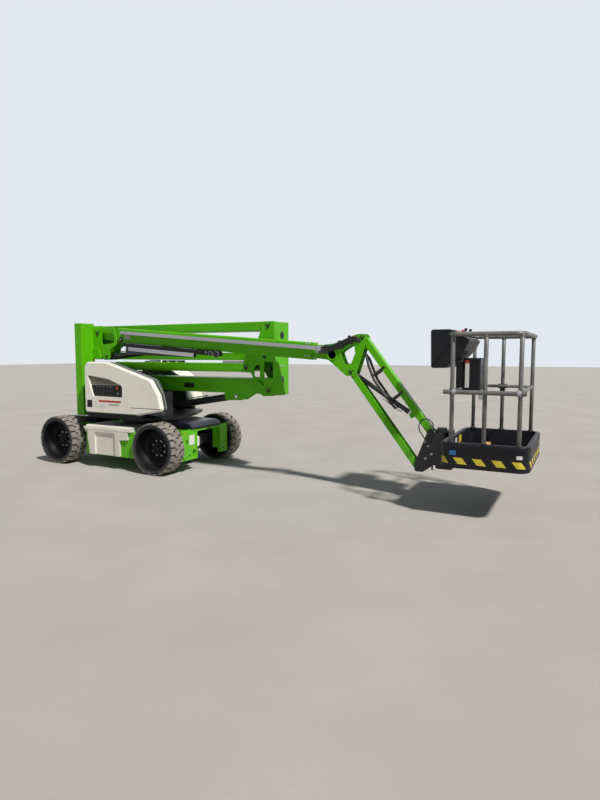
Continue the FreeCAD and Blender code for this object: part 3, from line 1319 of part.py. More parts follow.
def barrel(start, end, y, radius, length, pin_radius):
    """Cylinder barrel from its base pin, bored for the piston, with a gland at its mouth."""
    bore = radius - 8
    tube = Part.makeCylinder(radius, length, V(0, y, 0), X_AXIS)
    tube = tube.fuse(rod_y((0, 0), centred(y, 2 * radius), radius))
    mouth = length - GLAND_LENGTH
    floor = BARREL_FLOOR + radius
    tube = tube.fuse(rod(V(mouth, y, 0), V(length, y, 0), radius + GLAND_LIP))
    tube = tube.cut(rod(V(floor, y, 0), V(mouth, y, 0), bore))
    tube = tube.cut(rod(V(floor + 10, y, 0), V(length + 70, y, 0), radius * ROD_SHARE + PIN_GAP))
    tube = tube.cut(rod_y((0, 0), centred(y, 2 * radius + 2), pin_radius + PIN_GAP))
    return along(tube, start, end)


def piston_rod(start, end, y, radius, barrel_length, stroke, eye_width):
    """Piston rod with its eye at the far pin; radius is the barrel's."""
    length = distance(start, end)
    piston_at = barrel_length - GLAND_LENGTH - stroke - PISTON_LENGTH - 10
    shaft = rod(V(piston_at, y, 0), V(length - 10, y, 0), radius * ROD_SHARE)
    piston = Part.makeCylinder(radius - 8 - PIN_GAP, PISTON_LENGTH, V(piston_at, y, 0), X_AXIS)
    eye = rod_y((length, 0), centred(y, eye_width), radius * 0.75)
    return along(shaft.fuse(piston).fuse(eye), start, end)


def cylinders():
    """Barrel and rod of the riser, main boom and jib cylinders."""
    riser = RISER_CYLINDER[:2] + (LOWER_BOOM_REAR, RISER_LIFT)
    boom = BOOM_CYLINDER[:2] + (MAIN_PIVOT, BOOM_LIFT)
    jib = (JIB_LOWER_PIVOT, JIB_ROD_PIN, JIB_PIVOT, JIB_LIFT)
    # Name, (base pin, rod pin, pivot, lift), y, barrel radius, base pin radius, width of the rod's eye
    table = (
        ("riser", riser, 0, RISER_CYLINDER[2], 18, 106),
        ("boom", boom, BOOM_Y, BOOM_CYLINDER[2], 18, 60),
        ("jib", jib, BOOM_Y, JIB_BARREL_RADIUS, JIB_PIN_RADIUS, 51.4),
    )
    for name, motion, y, radius, pin_radius, eye_width in table:
        start, end = motion[:2]
        length = distance(start, end) - 2.2 * radius
        save(name + "_cylinder_barrel", barrel(start, end, y, radius, length, pin_radius))
        stroke = full_stroke(*motion)
        save(name + "_cylinder_rod", piston_rod(start, end, y, radius, length, stroke, eye_width))


def revolved(corners):
    """Ring about the Y axis from (y, radius) corners joined by straight lines."""
    points = [V(0, y, radius) for y, radius in corners]
    face = Part.Face(Part.makePolygon(points + points[:1]))
    return face.revolve(V(0, 0, 0), Y_AXIS, 360)


def chamfered(solid, axis, level, size):
    """Bevel the edges of a solid that lie in the plane of one level along an axis (0, 1 or 2)."""
    picked = []
    for edge in solid.Edges:
        extent = edge.BoundBox
        low = (extent.XMin, extent.YMin, extent.ZMin)[axis]
        high = (extent.XMax, extent.YMax, extent.ZMax)[axis]
        if abs(low - level) < 0.01 and abs(high - level) < 0.01:
            picked.append(edge)
    return solid.makeChamfer(size, picked)


def inner_cover_profile():
    """Side outline of the deep inner cover, steeper in front than the hood."""
    return [
        (HOOD_BACK + 20, HOOD_BOTTOM + 4, 20),
        (HOOD_BACK + 20, HOOD_TOP - 12, 80),
        (90, HOOD_TOP - 12, 150),
        (780, 1160, 80),
        (860, 1010, 60),
        (860, HOOD_BOTTOM + 4, 20),
    ]


def pad_ring(x, outer, inner):
    """Ring of wear pads round the boom's axis between an outer and an inner (width, depth)."""
    ring = box((x, x + PAD_LENGTH), centred(BOOM_Y, outer[0]), centred(0, outer[1]))
    hole = box((x - 1, x + PAD_LENGTH + 1), centred(BOOM_Y, inner[0]), centred(0, inner[1]))
    return ring.cut(hole)


def mouth_pads():
    """Pads in the outer boom's mouth that the inner section slides on."""
    outer = (MAIN_WIDTH - 2 * MAIN_WALL + 2, MAIN_DEPTH - 2 * MAIN_WALL + 2)
    inner = (INNER_WIDTH + 2 * SEAT_GAP, INNER_DEPTH + 2 * SEAT_GAP)
    return pad_ring(MAIN_LENGTH - PAD_LENGTH, outer, inner)


def rear_pads(x):
    """Pads on the inner section's rear end that slide in the outer boom."""
    outer = (MAIN_WIDTH - 2 * MAIN_WALL - 2 * SEAT_GAP, MAIN_DEPTH - 2 * MAIN_WALL - 2 * SEAT_GAP)
    return pad_ring(x, outer, (INNER_WIDTH - 2, INNER_DEPTH - 2))


def hose_chain():
    """Front bend of the folding hose chain, notched between its links."""
    face = BOOM_Y - MAIN_WIDTH / 2
    y = (face - 26, face + 22)
    x = HOSE_TRAY_ENDS[1] + RUNNING_GAP
    top = -MAIN_DEPTH / 2 - SEAT_GAP
    bend = (top - CHAIN_BOTTOM) / 2 - 1
    outline = [(x, CHAIN_BOTTOM, 0), (CHAIN_END, CHAIN_BOTTOM, bend), (CHAIN_END, top, bend), (x, top, 0)]
    chain = plate_y(outline, y)
    while x < CHAIN_END - 2 * CHAIN_PITCH:
        x += CHAIN_PITCH
        chain = chain.cut(box((x, x + 7), (y[0] - 1, y[0] + 6), (CHAIN_BOTTOM - 1, top + 1)))
    return on_boom(chain)


def top_rail():
    """Closed tube at the top of the guard rail, each corner bent in short mitred runs."""
    back, front = CAGE_BACK + RAIL_INSET + 30, CAGE_FRONT - RAIL_INSET - 30
    near, far = CAGE_Y - CAGE_WIDTH / 2 + 23, CAGE_Y + CAGE_WIDTH / 2 - 23
    places = [V((back + front) / 2, near, TOP_RAIL)]
    for x, y, first in ((front, near, -90), (front, far, 0), (back, far, 90), (back, near, 180)):
        centre_x = x + (RAIL_BEND if x == back else -RAIL_BEND)
        centre_y = y + (RAIL_BEND if y == near else -RAIL_BEND)
        for step in range(RAIL_BEND_RUNS + 1):
            angle = math.radians(first + 90 * step / RAIL_BEND_RUNS)
            bend = V(RAIL_BEND * math.cos(angle), RAIL_BEND * math.sin(angle), 0)
            places.append(V(centre_x, centre_y, TOP_RAIL) + bend)
    places.append(places[0])
    path = Part.makePolygon(places)
    section = Part.Wire(Part.Circle(places[0], X_AXIS, RAIL_TUBE_RADIUS).toShape())
    return path.makePipeShell([section], True, False, 1)


def full_stroke(base, pin, pivot, degrees):
    """How far a cylinder lengthens as its pin turns about a pivot, with a little to spare."""
    angle = math.radians(degrees)
    x = pin[0] - pivot[0]
    z = pin[1] - pivot[1]
    turned = add(pivot, (x * math.cos(angle) - z * math.sin(angle), x * math.sin(angle) + z * math.cos(angle)))
    return distance(base, turned) - distance(base, pin) + STROKE_SPARE


def main():
    """Build every node."""
    os.makedirs("parts", exist_ok=True)
    frame = chassis_frame()
    for bracket in axle_brackets():
        frame = frame.fuse(bracket)
    save("chassis_frame", frame)
    save("chassis_covers", chassis_covers())
    save("battery_boxes", battery_boxes())
    save("slew_ring", slew_ring())
    save("steer_axle", steer_axle())
    save("drive_axle", drive_axle())
    save("steer_knuckle_near", steer_knuckle(-1))
    save("steer_knuckle_far", steer_knuckle(1))
    wheels()
    save("turret_base", turret_base())
    save("hood_near", hood(-1, HOOD_DEPTH, 0))
    save("hood_far", hood(1, FAR_HOOD_DEPTH, 460))
    save("hood_bulkheads", hood_bulkheads())
    save("power_pack", power_pack())
    save("lower_boom", lower_boom())
    save("lower_tie", lower_tie())
    save("riser_knuckle", riser_knuckle())
    save("upper_boom", upper_boom())
    save("upper_tie", upper_tie())
    save("mast", mast())
    save("main_boom", main_boom())
    save("boom_conduit", boom_conduit())
    save("hose_tray", hose_tray())
    save("hose_chain", hose_chain())
    save("inner_boom", inner_boom())
    save("jib_head", jib_head())
    save("jib_upper_arm", jib_upper_arm())
    save("jib_lower_arm", jib_lower_arm())
    save("cage_bracket", cage_bracket())
    save("head_hoses", head_hoses())
    save("jib_hoses", jib_hoses())
    save("cage_hose", cage_hose())
    save("cage_carrier", cage_carrier())
    save("cage_tray", cage_tray())
    save("cage_rails", cage_rails())
    save("cage_gate", cage_gate())
    save("console", console())
    save("tool_box", tool_box())
    save("foot_switch", foot_switch())
    cylinders()


main()
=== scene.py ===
"""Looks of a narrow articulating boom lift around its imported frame, in metres."""
import math
import random

import bmesh
import bpy
from mathutils import Matrix, Vector


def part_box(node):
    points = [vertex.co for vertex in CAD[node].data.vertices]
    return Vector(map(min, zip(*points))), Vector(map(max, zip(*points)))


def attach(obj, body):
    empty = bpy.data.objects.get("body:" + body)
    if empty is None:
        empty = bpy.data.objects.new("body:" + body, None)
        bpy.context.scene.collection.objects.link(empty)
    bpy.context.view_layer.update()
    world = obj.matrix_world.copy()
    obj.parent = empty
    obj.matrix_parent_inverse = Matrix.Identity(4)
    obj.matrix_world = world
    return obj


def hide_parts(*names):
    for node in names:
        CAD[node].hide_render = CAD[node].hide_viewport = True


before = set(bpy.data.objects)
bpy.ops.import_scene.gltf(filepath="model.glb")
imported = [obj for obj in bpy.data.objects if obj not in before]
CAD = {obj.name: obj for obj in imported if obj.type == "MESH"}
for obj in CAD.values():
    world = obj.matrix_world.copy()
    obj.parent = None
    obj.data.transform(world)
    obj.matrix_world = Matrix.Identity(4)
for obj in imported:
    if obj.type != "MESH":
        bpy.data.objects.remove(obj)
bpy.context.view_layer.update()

# Photograph's view
CAMERA_PLACE = (5.509, -5.818, 1.49)
CAMERA_TURN = 27.5
CAMERA_TILT = 4.84
CAMERA_LENS = 24.975
SENSOR = 36

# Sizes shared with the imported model
BOOM_Y = -0.28
MAIN_PIVOT = (-0.42, 1.752)
MAIN_SLOPE = -4.27
MAIN_LENGTH = 3.24
MAIN_HALF_WIDTH = 0.065
MAIN_HALF_DEPTH = 0.095
JIB_PIVOT = (3.395, 1.647)
JIB_ANGLE = -52.6
JIB_LENGTH = 1.21
TYRE_RADIUS = 0.32
TYRE_HALF = 0.12
RIM_RADIUS = 0.258
DISH = 0.15
CAGE_X = (4.34, 5.10)
CAGE_Y = (-0.87, 0.27)
TRAY_CORNER = 0.11


def node_tree(name):
    """New material with its tree, shader and a helper that adds a node."""
    material = bpy.data.materials.new(name)
    material.use_nodes = True
    tree = material.node_tree
    shader = tree.nodes["Principled BSDF"]

    def add(kind, **settings):
        node = tree.nodes.new("ShaderNode" + kind)
        for key, value in settings.items():
            setattr(node, key, value)
        return node

    return material, tree, shader, add


def noise_mask(tree, add, scale, low, high, stretch=(1, 1, 1), detail=5.0):
    """Noise in the object's own coordinates, cut between two levels to a 0 to 1 mask."""
    place = add("TexCoord")
    mapping = add("Mapping")
    mapping.inputs["Scale"].default_value = stretch
    texture = add("TexNoise")
    texture.inputs["Scale"].default_value = scale
    texture.inputs["Detail"].default_value = detail
    ramp = add("MapRange")
    ramp.inputs["From Min"].default_value = low
    ramp.inputs["From Max"].default_value = high
    tree.links.new(place.outputs["Object"], mapping.inputs["Vector"])
    tree.links.new(mapping.outputs["Vector"], texture.inputs["Vector"])
    tree.links.new(texture.outputs["Fac"], ramp.inputs["Value"])
    return ramp.outputs["Result"]


def mix(tree, add, mask, first, second):
    """Colour mix; each input is a colour or a socket."""
    node = add("Mix", data_type="RGBA")
    tree.links.new(mask, node.inputs["Factor"])
    for key, value in (("A", first), ("B", second)):
        socket = [s for s in node.inputs if s.name == key and s.type == "RGBA"][0]
        if isinstance(value, tuple):
            socket.default_value = (*value, 1)
        else:
            tree.links.new(value, socket)
    return [s for s in node.outputs if s.type == "RGBA"][0]


def scaled(tree, add, value, factor):
    """A mask times a number."""
    node = add("Math", operation="MULTIPLY")
    tree.links.new(value, node.inputs[0])
    node.inputs[1].default_value = factor
    return node.outputs[0]


def low_mask(tree, add, top, bottom):
    """1 at the bottom height and 0 at the top height."""
    place = add("TexCoord")
    split = add("SeparateXYZ")
    ramp = add("MapRange")
    ramp.inputs["From Min"].default_value = top
    ramp.inputs["From Max"].default_value = bottom
    tree.links.new(place.outputs["Object"], split.inputs[0])
    tree.links.new(split.outputs["Z"], ramp.inputs["Value"])
    return ramp.outputs["Result"]


def finish_of(name, colour, second, rough, metal=0.0, coat=0.0, grain=(300, 0.05), patch=(3, 0.45, 0.65),
              dust=0.0, dust_colour=(0.30, 0.27, 0.23), dust_height=(1.0, 0.1), stretch=(1, 1, 1), edge=0.0025,
              gloss=0.5, below=None):
    """Surface of two close tones with grain, dust that thickens towards the ground, and eased edges.

    below is (height, colour) of a second colour under that height, which can carry painted shade."""
    material, tree, shader, add = node_tree(name)
    shader.inputs["Roughness"].default_value = rough
    shader.inputs["Metallic"].default_value = metal
    shader.inputs["Specular IOR Level"].default_value = gloss
    shader.inputs["Coat Weight"].default_value = coat
    shader.inputs["Coat Roughness"].default_value = 0.12
    tone = noise_mask(tree, add, patch[0], patch[1], patch[2], stretch)
    result = mix(tree, add, tone, colour, second)
    if below:
        result = mix(tree, add, low_mask(tree, add, below[0] + 0.001, below[0]), result, below[1])
    if dust:
        speckle = noise_mask(tree, add, 7, 0.30, 0.85, detail=8.0)
        height = low_mask(tree, add, dust_height[0], dust_height[1])
        both = add("Math", operation="MULTIPLY_ADD")
        tree.links.new(speckle, both.inputs[0])
        tree.links.new(height, both.inputs[1])
        both.inputs[2].default_value = 0.06
        amount = scaled(tree, add, both.outputs[0], dust)
        result = mix(tree, add, amount, result, dust_colour)
        dull = add("MapRange")
        dull.inputs["To Min"].default_value = rough
        dull.inputs["To Max"].default_value = min(1, rough + 0.35)
        tree.links.new(amount, dull.inputs["Value"])
        tree.links.new(dull.outputs["Result"], shader.inputs["Roughness"])
    tree.links.new(result, shader.inputs["Base Color"])
    bump = add("Bump")
    bump.inputs["Strength"].default_value = grain[1]
    bump.inputs["Distance"].default_value = 0.002
    fine = noise_mask(tree, add, grain[0], 0.0, 1.0, stretch, detail=3.0)
    tree.links.new(fine, bump.inputs["Height"])
    if edge:
        bevel = add("Bevel", samples=4)
        bevel.inputs["Radius"].default_value = edge
        tree.links.new(bevel.outputs["Normal"], bump.inputs["Normal"])
    tree.links.new(bump.outputs["Normal"], shader.inputs["Normal"])
    return material


GREEN = (0.105, 0.50, 0.001)
GREEN_WORN = (0.095, 0.45, 0.001)
BLACK = (0.012, 0.012, 0.014)

M = {
    "green": finish_of("green_gloss_paint", GREEN, GREEN_WORN, 0.34, coat=0.04, gloss=0.15, grain=(260, 0.03),
                       dust=0.22, dust_height=(0.9, 0.1)),
    # Turret: green above 0.7145 m and black below it; the black holds the plate's dark colour with the shade under the
    # hoods painted in.
    "turret": finish_of("turret_paint_with_painted_base_shade", GREEN, GREEN_WORN, 0.36, gloss=0.15, grain=(260, 0.03), dust=0.10,
                        dust_height=(0.9, 0.1), below=(0.7145, BLACK)),
    "cream": finish_of("cream_moulding", (0.88, 0.87, 0.77), (0.84, 0.83, 0.73), 0.38, coat=0.1,
                       grain=(420, 0.08), dust=0.20, dust_height=(0.9, 0.15), edge=0.008),
    "battery": finish_of("battery_box_moulding", (0.78, 0.76, 0.67), (0.72, 0.70, 0.61), 0.45, grain=(420, 0.1),
                         dust=0.28, dust_height=(0.6, 0.15), edge=0.004),
    "black": finish_of("black_satin_paint", BLACK, (0.02, 0.02, 0.022), 0.38, grain=(240, 0.05), gloss=0.4,
                       dust=0.06),
    "chassis_black": finish_of("black_moulded_cover", (0.010, 0.013, 0.024), (0.016, 0.020, 0.032), 0.30,
                               gloss=0.3, grain=(500, 0.08), dust=0.06, dust_height=(0.8, 0.2), edge=0.010),
    "wheel": finish_of("dark_wheel_paint", (0.004, 0.004, 0.006), (0.007, 0.008, 0.011), 0.5, gloss=0.15,
                       grain=(200, 0.05), dust=0.03, dust_height=(0.6, 0.0)),
    "tread": finish_of("dusty_tread_rubber", (0.20, 0.18, 0.16), (0.30, 0.27, 0.235), 0.92, grain=(160, 0.5),
                       patch=(14, 0.35, 0.65), edge=0),
    "groove": finish_of("dark_tread_groove", (0.030, 0.027, 0.024), (0.08, 0.072, 0.063), 0.95, grain=(160, 0.5),
                        patch=(20, 0.35, 0.65), edge=0),
    "sidewall": finish_of("tyre_sidewall", (0.016, 0.017, 0.021), (0.05, 0.05, 0.052), 0.7, grain=(220, 0.3), gloss=0.2,
                          patch=(9, 0.4, 0.7), dust=0.2, dust_height=(0.6, 0.0), edge=0),
    "ring": finish_of("scuffed_tyre_edge", (0.15, 0.155, 0.165), (0.24, 0.235, 0.23), 0.75, grain=(200, 0.3),
                      edge=0),
    "tray": finish_of("charcoal_moulded_tray", (0.005, 0.006, 0.010), (0.009, 0.010, 0.016), 0.42, gloss=0.25,
                      grain=(380, 0.25), dust=0.03, dust_height=(0.9, 0.4)),
    "grey": finish_of("grey_panel", (0.055, 0.065, 0.065), (0.075, 0.085, 0.084), 0.42, grain=(300, 0.1)),
    "seam": finish_of("seam_with_painted_highlight", (0.42, 0.45, 0.44), (0.50, 0.52, 0.50), 0.42, grain=(300, 0.05)),
    "olive": finish_of("shaded_hood_recess", (0.16, 0.16, 0.10), (0.12, 0.12, 0.08), 0.50, grain=(420, 0.08)),
    "plastic": finish_of("black_console_plastic", (0.006, 0.007, 0.009), (0.012, 0.013, 0.016), 0.40, gloss=0.25,
                         grain=(420, 0.2)),
    "rubber": finish_of("matt_black_rubber", (0.010, 0.010, 0.010), (0.02, 0.02, 0.02), 0.75, grain=(300, 0.3)),
    "steel": finish_of("bright_rod", (0.62, 0.63, 0.65), (0.70, 0.70, 0.71), 0.12, metal=1.0, grain=(300, 0.02)),
    "rail": finish_of("grey_rail_tube", (0.13, 0.13, 0.128), (0.19, 0.188, 0.18), 0.42, metal=0.2,
                      grain=(90, 0.12), patch=(6, 0.4, 0.62)),
    "zinc": finish_of("zinc_strip", (0.42, 0.41, 0.46), (0.50, 0.50, 0.53), 0.42, metal=0.35, grain=(120, 0.1),
                      stretch=(0.2, 1, 1)),
    "hose": finish_of("hose_rubber", (0.010, 0.010, 0.011), (0.022, 0.022, 0.022), 0.48, grain=(240, 0.15), edge=0),
    "yellow": finish_of("yellow_guard_paint", (0.78, 0.42, 0.012), (0.66, 0.34, 0.012), 0.40, grain=(240, 0.08)),
    "hazard": finish_of("hazard_yellow", (0.74, 0.62, 0.03), (0.60, 0.48, 0.04), 0.5, grain=(240, 0.1),
                        patch=(40, 0.30, 0.55)),
    "white": finish_of("blank_white_plate", (0.74, 0.74, 0.72), (0.66, 0.66, 0.64), 0.45, grain=(300, 0.05)),
    "pale": finish_of("blank_pale_plate", (0.46, 0.50, 0.42), (0.40, 0.44, 0.37), 0.5, grain=(300, 0.05)),
    "red": finish_of("red_strip", (0.50, 0.03, 0.02), (0.40, 0.04, 0.03), 0.45, grain=(300, 0.05)),
    "amber": finish_of("amber_marker", (0.70, 0.25, 0.01), (0.60, 0.20, 0.01), 0.3, grain=(300, 0.05)),
    "blue": finish_of("blue_plate", (0.02, 0.16, 0.42), (0.03, 0.12, 0.32), 0.45, grain=(300, 0.05)),
    "pad": finish_of("slate_treadle", (0.10, 0.15, 0.19), (0.13, 0.18, 0.22), 0.7, grain=(200, 0.4)),
}


class Shape:
    """Mesh put together from simple swept forms, each face with its own material."""

    def __init__(self):
        self.mesh = bmesh.new()
        self.colours = []
        self.index = 0

    def use(self, colour):
        """Material of the faces that are added next."""
        if colour not in self.colours:
            self.colours.append(colour)
        self.index = self.colours.index(colour)
        return self

    def add(self, points, faces):
        """Points and faces, in metres."""
        made = [self.mesh.verts.new(p) for p in points]
        for face in faces:
            f = self.mesh.faces.new([made[i] for i in face])
            f.material_index = self.index
            f.smooth = True
        return self

    def rings(self, rings, closed=True, caps=True, loop=False):
        """Skin over rings of equal length; loop joins the last ring to the first."""
        count = len(rings[0])
        points = [p for ring in rings for p in ring]
        faces = []
        for r in range(len(rings) if loop else len(rings) - 1):
            s = (r + 1) % len(rings)
            for i in range(count if closed else count - 1):
                j = (i + 1) % count
                faces.append((r * count + i, r * count + j, s * count + j, s * count + i))
        if caps and not loop:
            faces.append(tuple(reversed(range(count))))
            faces.append(tuple((len(rings) - 1) * count + i for i in range(count)))
        return self.add(points, faces)

    def prism(self, outline, plane, low, high):
        """Outline in the plane "xz", "yz" or "xy", drawn out along the third axis."""
        def place(a, b, c):
            if plane == "xz":
                return (a, c, b)
            if plane == "yz":
                return (c, a, b)
            return (a, b, c)
        return self.rings([[place(a, b, c) for a, b in outline] for c in (low, high)])

    def block(self, low, high):
        """Block between two corners."""
        outline = [(low[0], low[1]), (high[0], low[1]), (high[0], high[1]), (low[0], high[1])]
        return self.prism(outline, "xy", low[2], high[2])

    def lathe(self, profile, centre, axis, steps=48):
        """Profile of (distance along the axis, radius) turned about an axis through a centre."""
        axis = Vector(axis).normalized()
        side = axis.orthogonal().normalized()
        up = axis.cross(side)
        rings = []
        for along, radius in profile:
            ring = []
            for k in range(steps):
                a = 2 * math.pi * k / steps
                ring.append(Vector(centre) + axis * along + (side * math.cos(a) + up * math.sin(a)) * radius)
            rings.append(ring)
        return self.rings(rings)

    def rod(self, start, end, radius, steps=24, ease=0.0015):
        """Round bar with eased ends."""
        line = Vector(end) - Vector(start)
        length = line.length
        profile = [(0, radius - ease), (ease, radius), (length - ease, radius), (length, radius - ease)]
        return self.lathe(profile, start, line, steps)

    def pipe(self, points, radius, steps=12, loop=False):
        """Tube along a list of points; loop closes it."""
        points = [Vector(p) for p in points]
        rings = []
        side = None
        for i, p in enumerate(points):
            before = points[i - 1] if i or loop else p
            after = points[(i + 1) % len(points)] if i < len(points) - 1 or loop else p
            way = (after - before).normalized()
            side = way.orthogonal() if side is None else side - way * side.dot(way)
            side.normalize()
            up = way.cross(side)
            rings.append([p + (side * math.cos(2 * math.pi * k / steps) + up * math.sin(2 * math.pi * k / steps))
                          * radius for k in range(steps)])
        return self.rings(rings, loop=loop)

    def nut(self, place, axis, radius=0.011, height=0.008, washer=True):
        """Hexagon head on a washer."""
        if washer:
            self.lathe([(0, radius * 1.45), (0.002, radius * 1.45)], place, axis, 20)
        axis = Vector(axis).normalized()
        base = Vector(place) + axis * 0.0018
        return self.lathe([(0, radius), (height * 0.85, radius), (height, radius * 0.82)], base, axis, 6)

    def piece(self, name, body, slot, bevel=0.0, segments=2, sharp=35, replaces=()):
        """Blender object that rides on a body."""
        bmesh.ops.recalc_face_normals(self.mesh, faces=self.mesh.faces)
        data = bpy.data.meshes.new(name)
        self.mesh.to_mesh(data)
        self.mesh.free()
        for colour in self.colours:
            data.materials.append(M[colour])
        data.set_sharp_from_angle(angle=math.radians(sharp))
        obj = bpy.data.objects.new(name, data)
        bpy.context.scene.collection.objects.link(obj)
        if bevel:
            ease = obj.modifiers.new("eased_edges", "BEVEL")
            ease.width = bevel
            ease.segments = segments
            ease.limit_method = "ANGLE"
            ease.angle_limit = math.radians(sharp)
            ease.harden_normals = True
        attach(obj, body)
        if replaces:
            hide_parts(*replaces)
        return obj


def rounded(corners, steps=6):
    """Outline with each (a, b, radius) corner turned into an arc."""
    out = []
    count = len(corners)
    for i in range(count):
        a, b, radius = corners[i]
        corner = Vector((a, b))
        before = Vector(corners[i - 1][:2]) - corner
        after = Vector(corners[(i + 1) % count][:2]) - corner
        if radius <= 0:
            out.append((a, b))
            continue
        half = before.angle(after) / 2
        reach = radius / math.tan(half)
        centre = corner + (before.normalized() + after.normalized()).normalized() * (radius / math.sin(half))
        start = corner + before.normalized() * reach - centre
        end = corner + after.normalized() * reach - centre
        turn = start.angle_signed(end)
        for k in range(steps + 1):
            angle = -turn * k / steps
            out.append((centre.x + start.x * math.cos(angle) - start.y * math.sin(angle),
                        centre.y + start.x * math.sin(angle) + start.y * math.cos(angle)))
    return out


def smooth_path(points, steps=8):
    """Points on a smooth curve through the given ones."""
    points = [Vector(p) for p in points]
    out = []
    for i in range(len(points) - 1):
        p0 = points[max(i - 1, 0)]
        p1, p2 = points[i], points[i + 1]
        p3 = points[min(i + 2, len(points) - 1)]
        for k in range(steps):
            t = k / steps
            out.append(0.5 * ((2 * p1) + (p2 - p0) * t + (2 * p0 - 5 * p1 + 4 * p2 - p3) * t * t
                              + (3 * p1 - p0 - 3 * p2 + p3) * t ** 3))
    out.append(points[-1])
    return out


def set_material(nodes, colour):
    """Give CAD nodes a finish."""
    for name in nodes:
        data = CAD[name].data
        data.materials.clear()
        data.materials.append(M[colour])


def carried_over_finishes():
    """Finishes of the CAD nodes that stay in view."""
    table = {
        "green": ("chassis_frame", "lower_boom", "lower_tie", "riser_knuckle", "upper_boom", "upper_tie",
                  "mast", "main_boom", "inner_boom", "jib_head", "jib_upper_arm", "jib_lower_arm"),
        "turret": ("turret_base",),
        "battery": ("battery_boxes",),
        "cream": ("hood_near", "hood_far"),
        "black": ("steer_axle", "drive_axle", "steer_knuckle_near", "steer_knuckle_far", "slew_ring",
                  "riser_cylinder_barrel", "boom_cylinder_barrel", "jib_cylinder_barrel", "cage_bracket",
                  "cage_carrier", "power_pack"),
        "wheel": ("rim_drive_near", "rim_drive_far", "rim_steer_near", "rim_steer_far"),
        "tread": ("tyre_drive_near", "tyre_drive_far", "tyre_steer_near", "tyre_steer_far"),
        "chassis_black": ("chassis_covers",),
        "tray": ("cage_tray",),
        "plastic": ("console", "tool_box"),
        "grey": ("hood_bulkheads",),
        "steel": ("riser_cylinder_rod", "boom_cylinder_rod", "jib_cylinder_rod"),
        "zinc": ("boom_conduit",),
        "black ": ("hose_tray",),
        "plastic ": ("hose_chain",),
        "hose": ("head_hoses", "jib_hoses", "cage_hose"),
        "rail": ("cage_rails", "cage_gate"),
        "yellow": ("foot_switch",),
    }
    for colour, nodes in table.items():
        set_material(nodes, colour.strip())


LUGS = 22
LUG_DEPTH = 0.014
GROOVE_SHARE = 0.24


def tyre_half(shape, side, centre, outward):
    """One half of a block tread: side is +1 for the outer half; grooves jog like a Z."""
    rows = [  # (distance from the middle, jog of the groove in shares of a pitch, grooved)
        (0.000, 0.00, False), (0.012, 0.00, False), (0.014, 0.00, True), (0.040, 0.00, True), (0.058, 0.34, True),
        (0.082, 0.34, True), (0.106, 0.34, True), (0.1185, 0.34, True),
    ]
    columns = [0.0, 0.02, GROOVE_SHARE - 0.02, GROOVE_SHARE, 0.50, 0.76, 1.0]
    shoulder = 0.012
    pitch = 2 * math.pi / LUGS
    start = 0.5 if side < 0 else 0.0
    grid = []
    for distance, jog, grooved in rows:
        ring = []
        for lug in range(LUGS):
            for c, share in enumerate(columns[:-1]):
                angle = (lug + share + jog + start) * pitch
                drop = LUG_DEPTH if grooved and c in (1, 2) else 0.0
                edge = 0.006 if distance > 0.11 else 0.0
                radius = TYRE_RADIUS - drop - edge
                ring.append((angle, radius, distance))
        grid.append(ring)
    # Shoulder and sidewall down to the rim
    for depth_in, radius in ((0.12, TYRE_RADIUS - shoulder - 0.008), (0.12, 0.284)):
        ring = []
        for lug in range(LUGS):
            for c, share in enumerate(columns[:-1]):
                angle = (lug + share + 0.34 + start) * pitch
                ring.append((angle, radius, depth_in))
        grid.append(ring)

    def place(angle, radius, distance):
        return Vector((centre[0] + radius * math.cos(angle),
                       centre[1] + side * outward * distance,
                       centre[2] + radius * math.sin(angle)))

    count = len(grid[0])
    made = [[shape.mesh.verts.new(place(*p)) for p in ring] for ring in grid]
    for r in range(len(grid) - 1):
        for i in range(count):
            j = (i + 1) % count
            face = shape.mesh.faces.new((made[r][i], made[r][j], made[r + 1][j], made[r + 1][i]))
            face.smooth = True
            column = i % (len(columns) - 1)
            low = column in (0, 1, 2) and 2 <= r <= 6
            if r == len(grid) - 2:
                shape.use("sidewall")
            elif r == len(grid) - 3:
                shape.use("ring")
            else:
                shape.use("groove" if low else "tread")
            face.material_index = shape.index


def tyre_side(shape, centre, outward, side):
    """Sidewall ring between the tread's shoulder and the rim."""
    y = side * outward
    profile = [(TYRE_HALF, 0.284), (TYRE_HALF - 0.004, 0.278), (TYRE_HALF - 0.002, 0.270), (TYRE_HALF - 0.004, 0.2585)]
    shape.use("sidewall")
    steps = 96
    rings = []
    for along, radius in profile:
        rings.append([(centre[0] + radius * math.cos(2 * math.pi * k / steps), centre[1] + y * along,
                       centre[2] + radius * math.sin(2 * math.pi * k / steps)) for k in range(steps)])
    shape.rings(rings, caps=False)


WHEELS = {
    "drive_near": (0.84, -1), "drive_far": (0.84, 1), "steer_near": (-0.84, -1), "steer_far": (-0.84, 1),
}


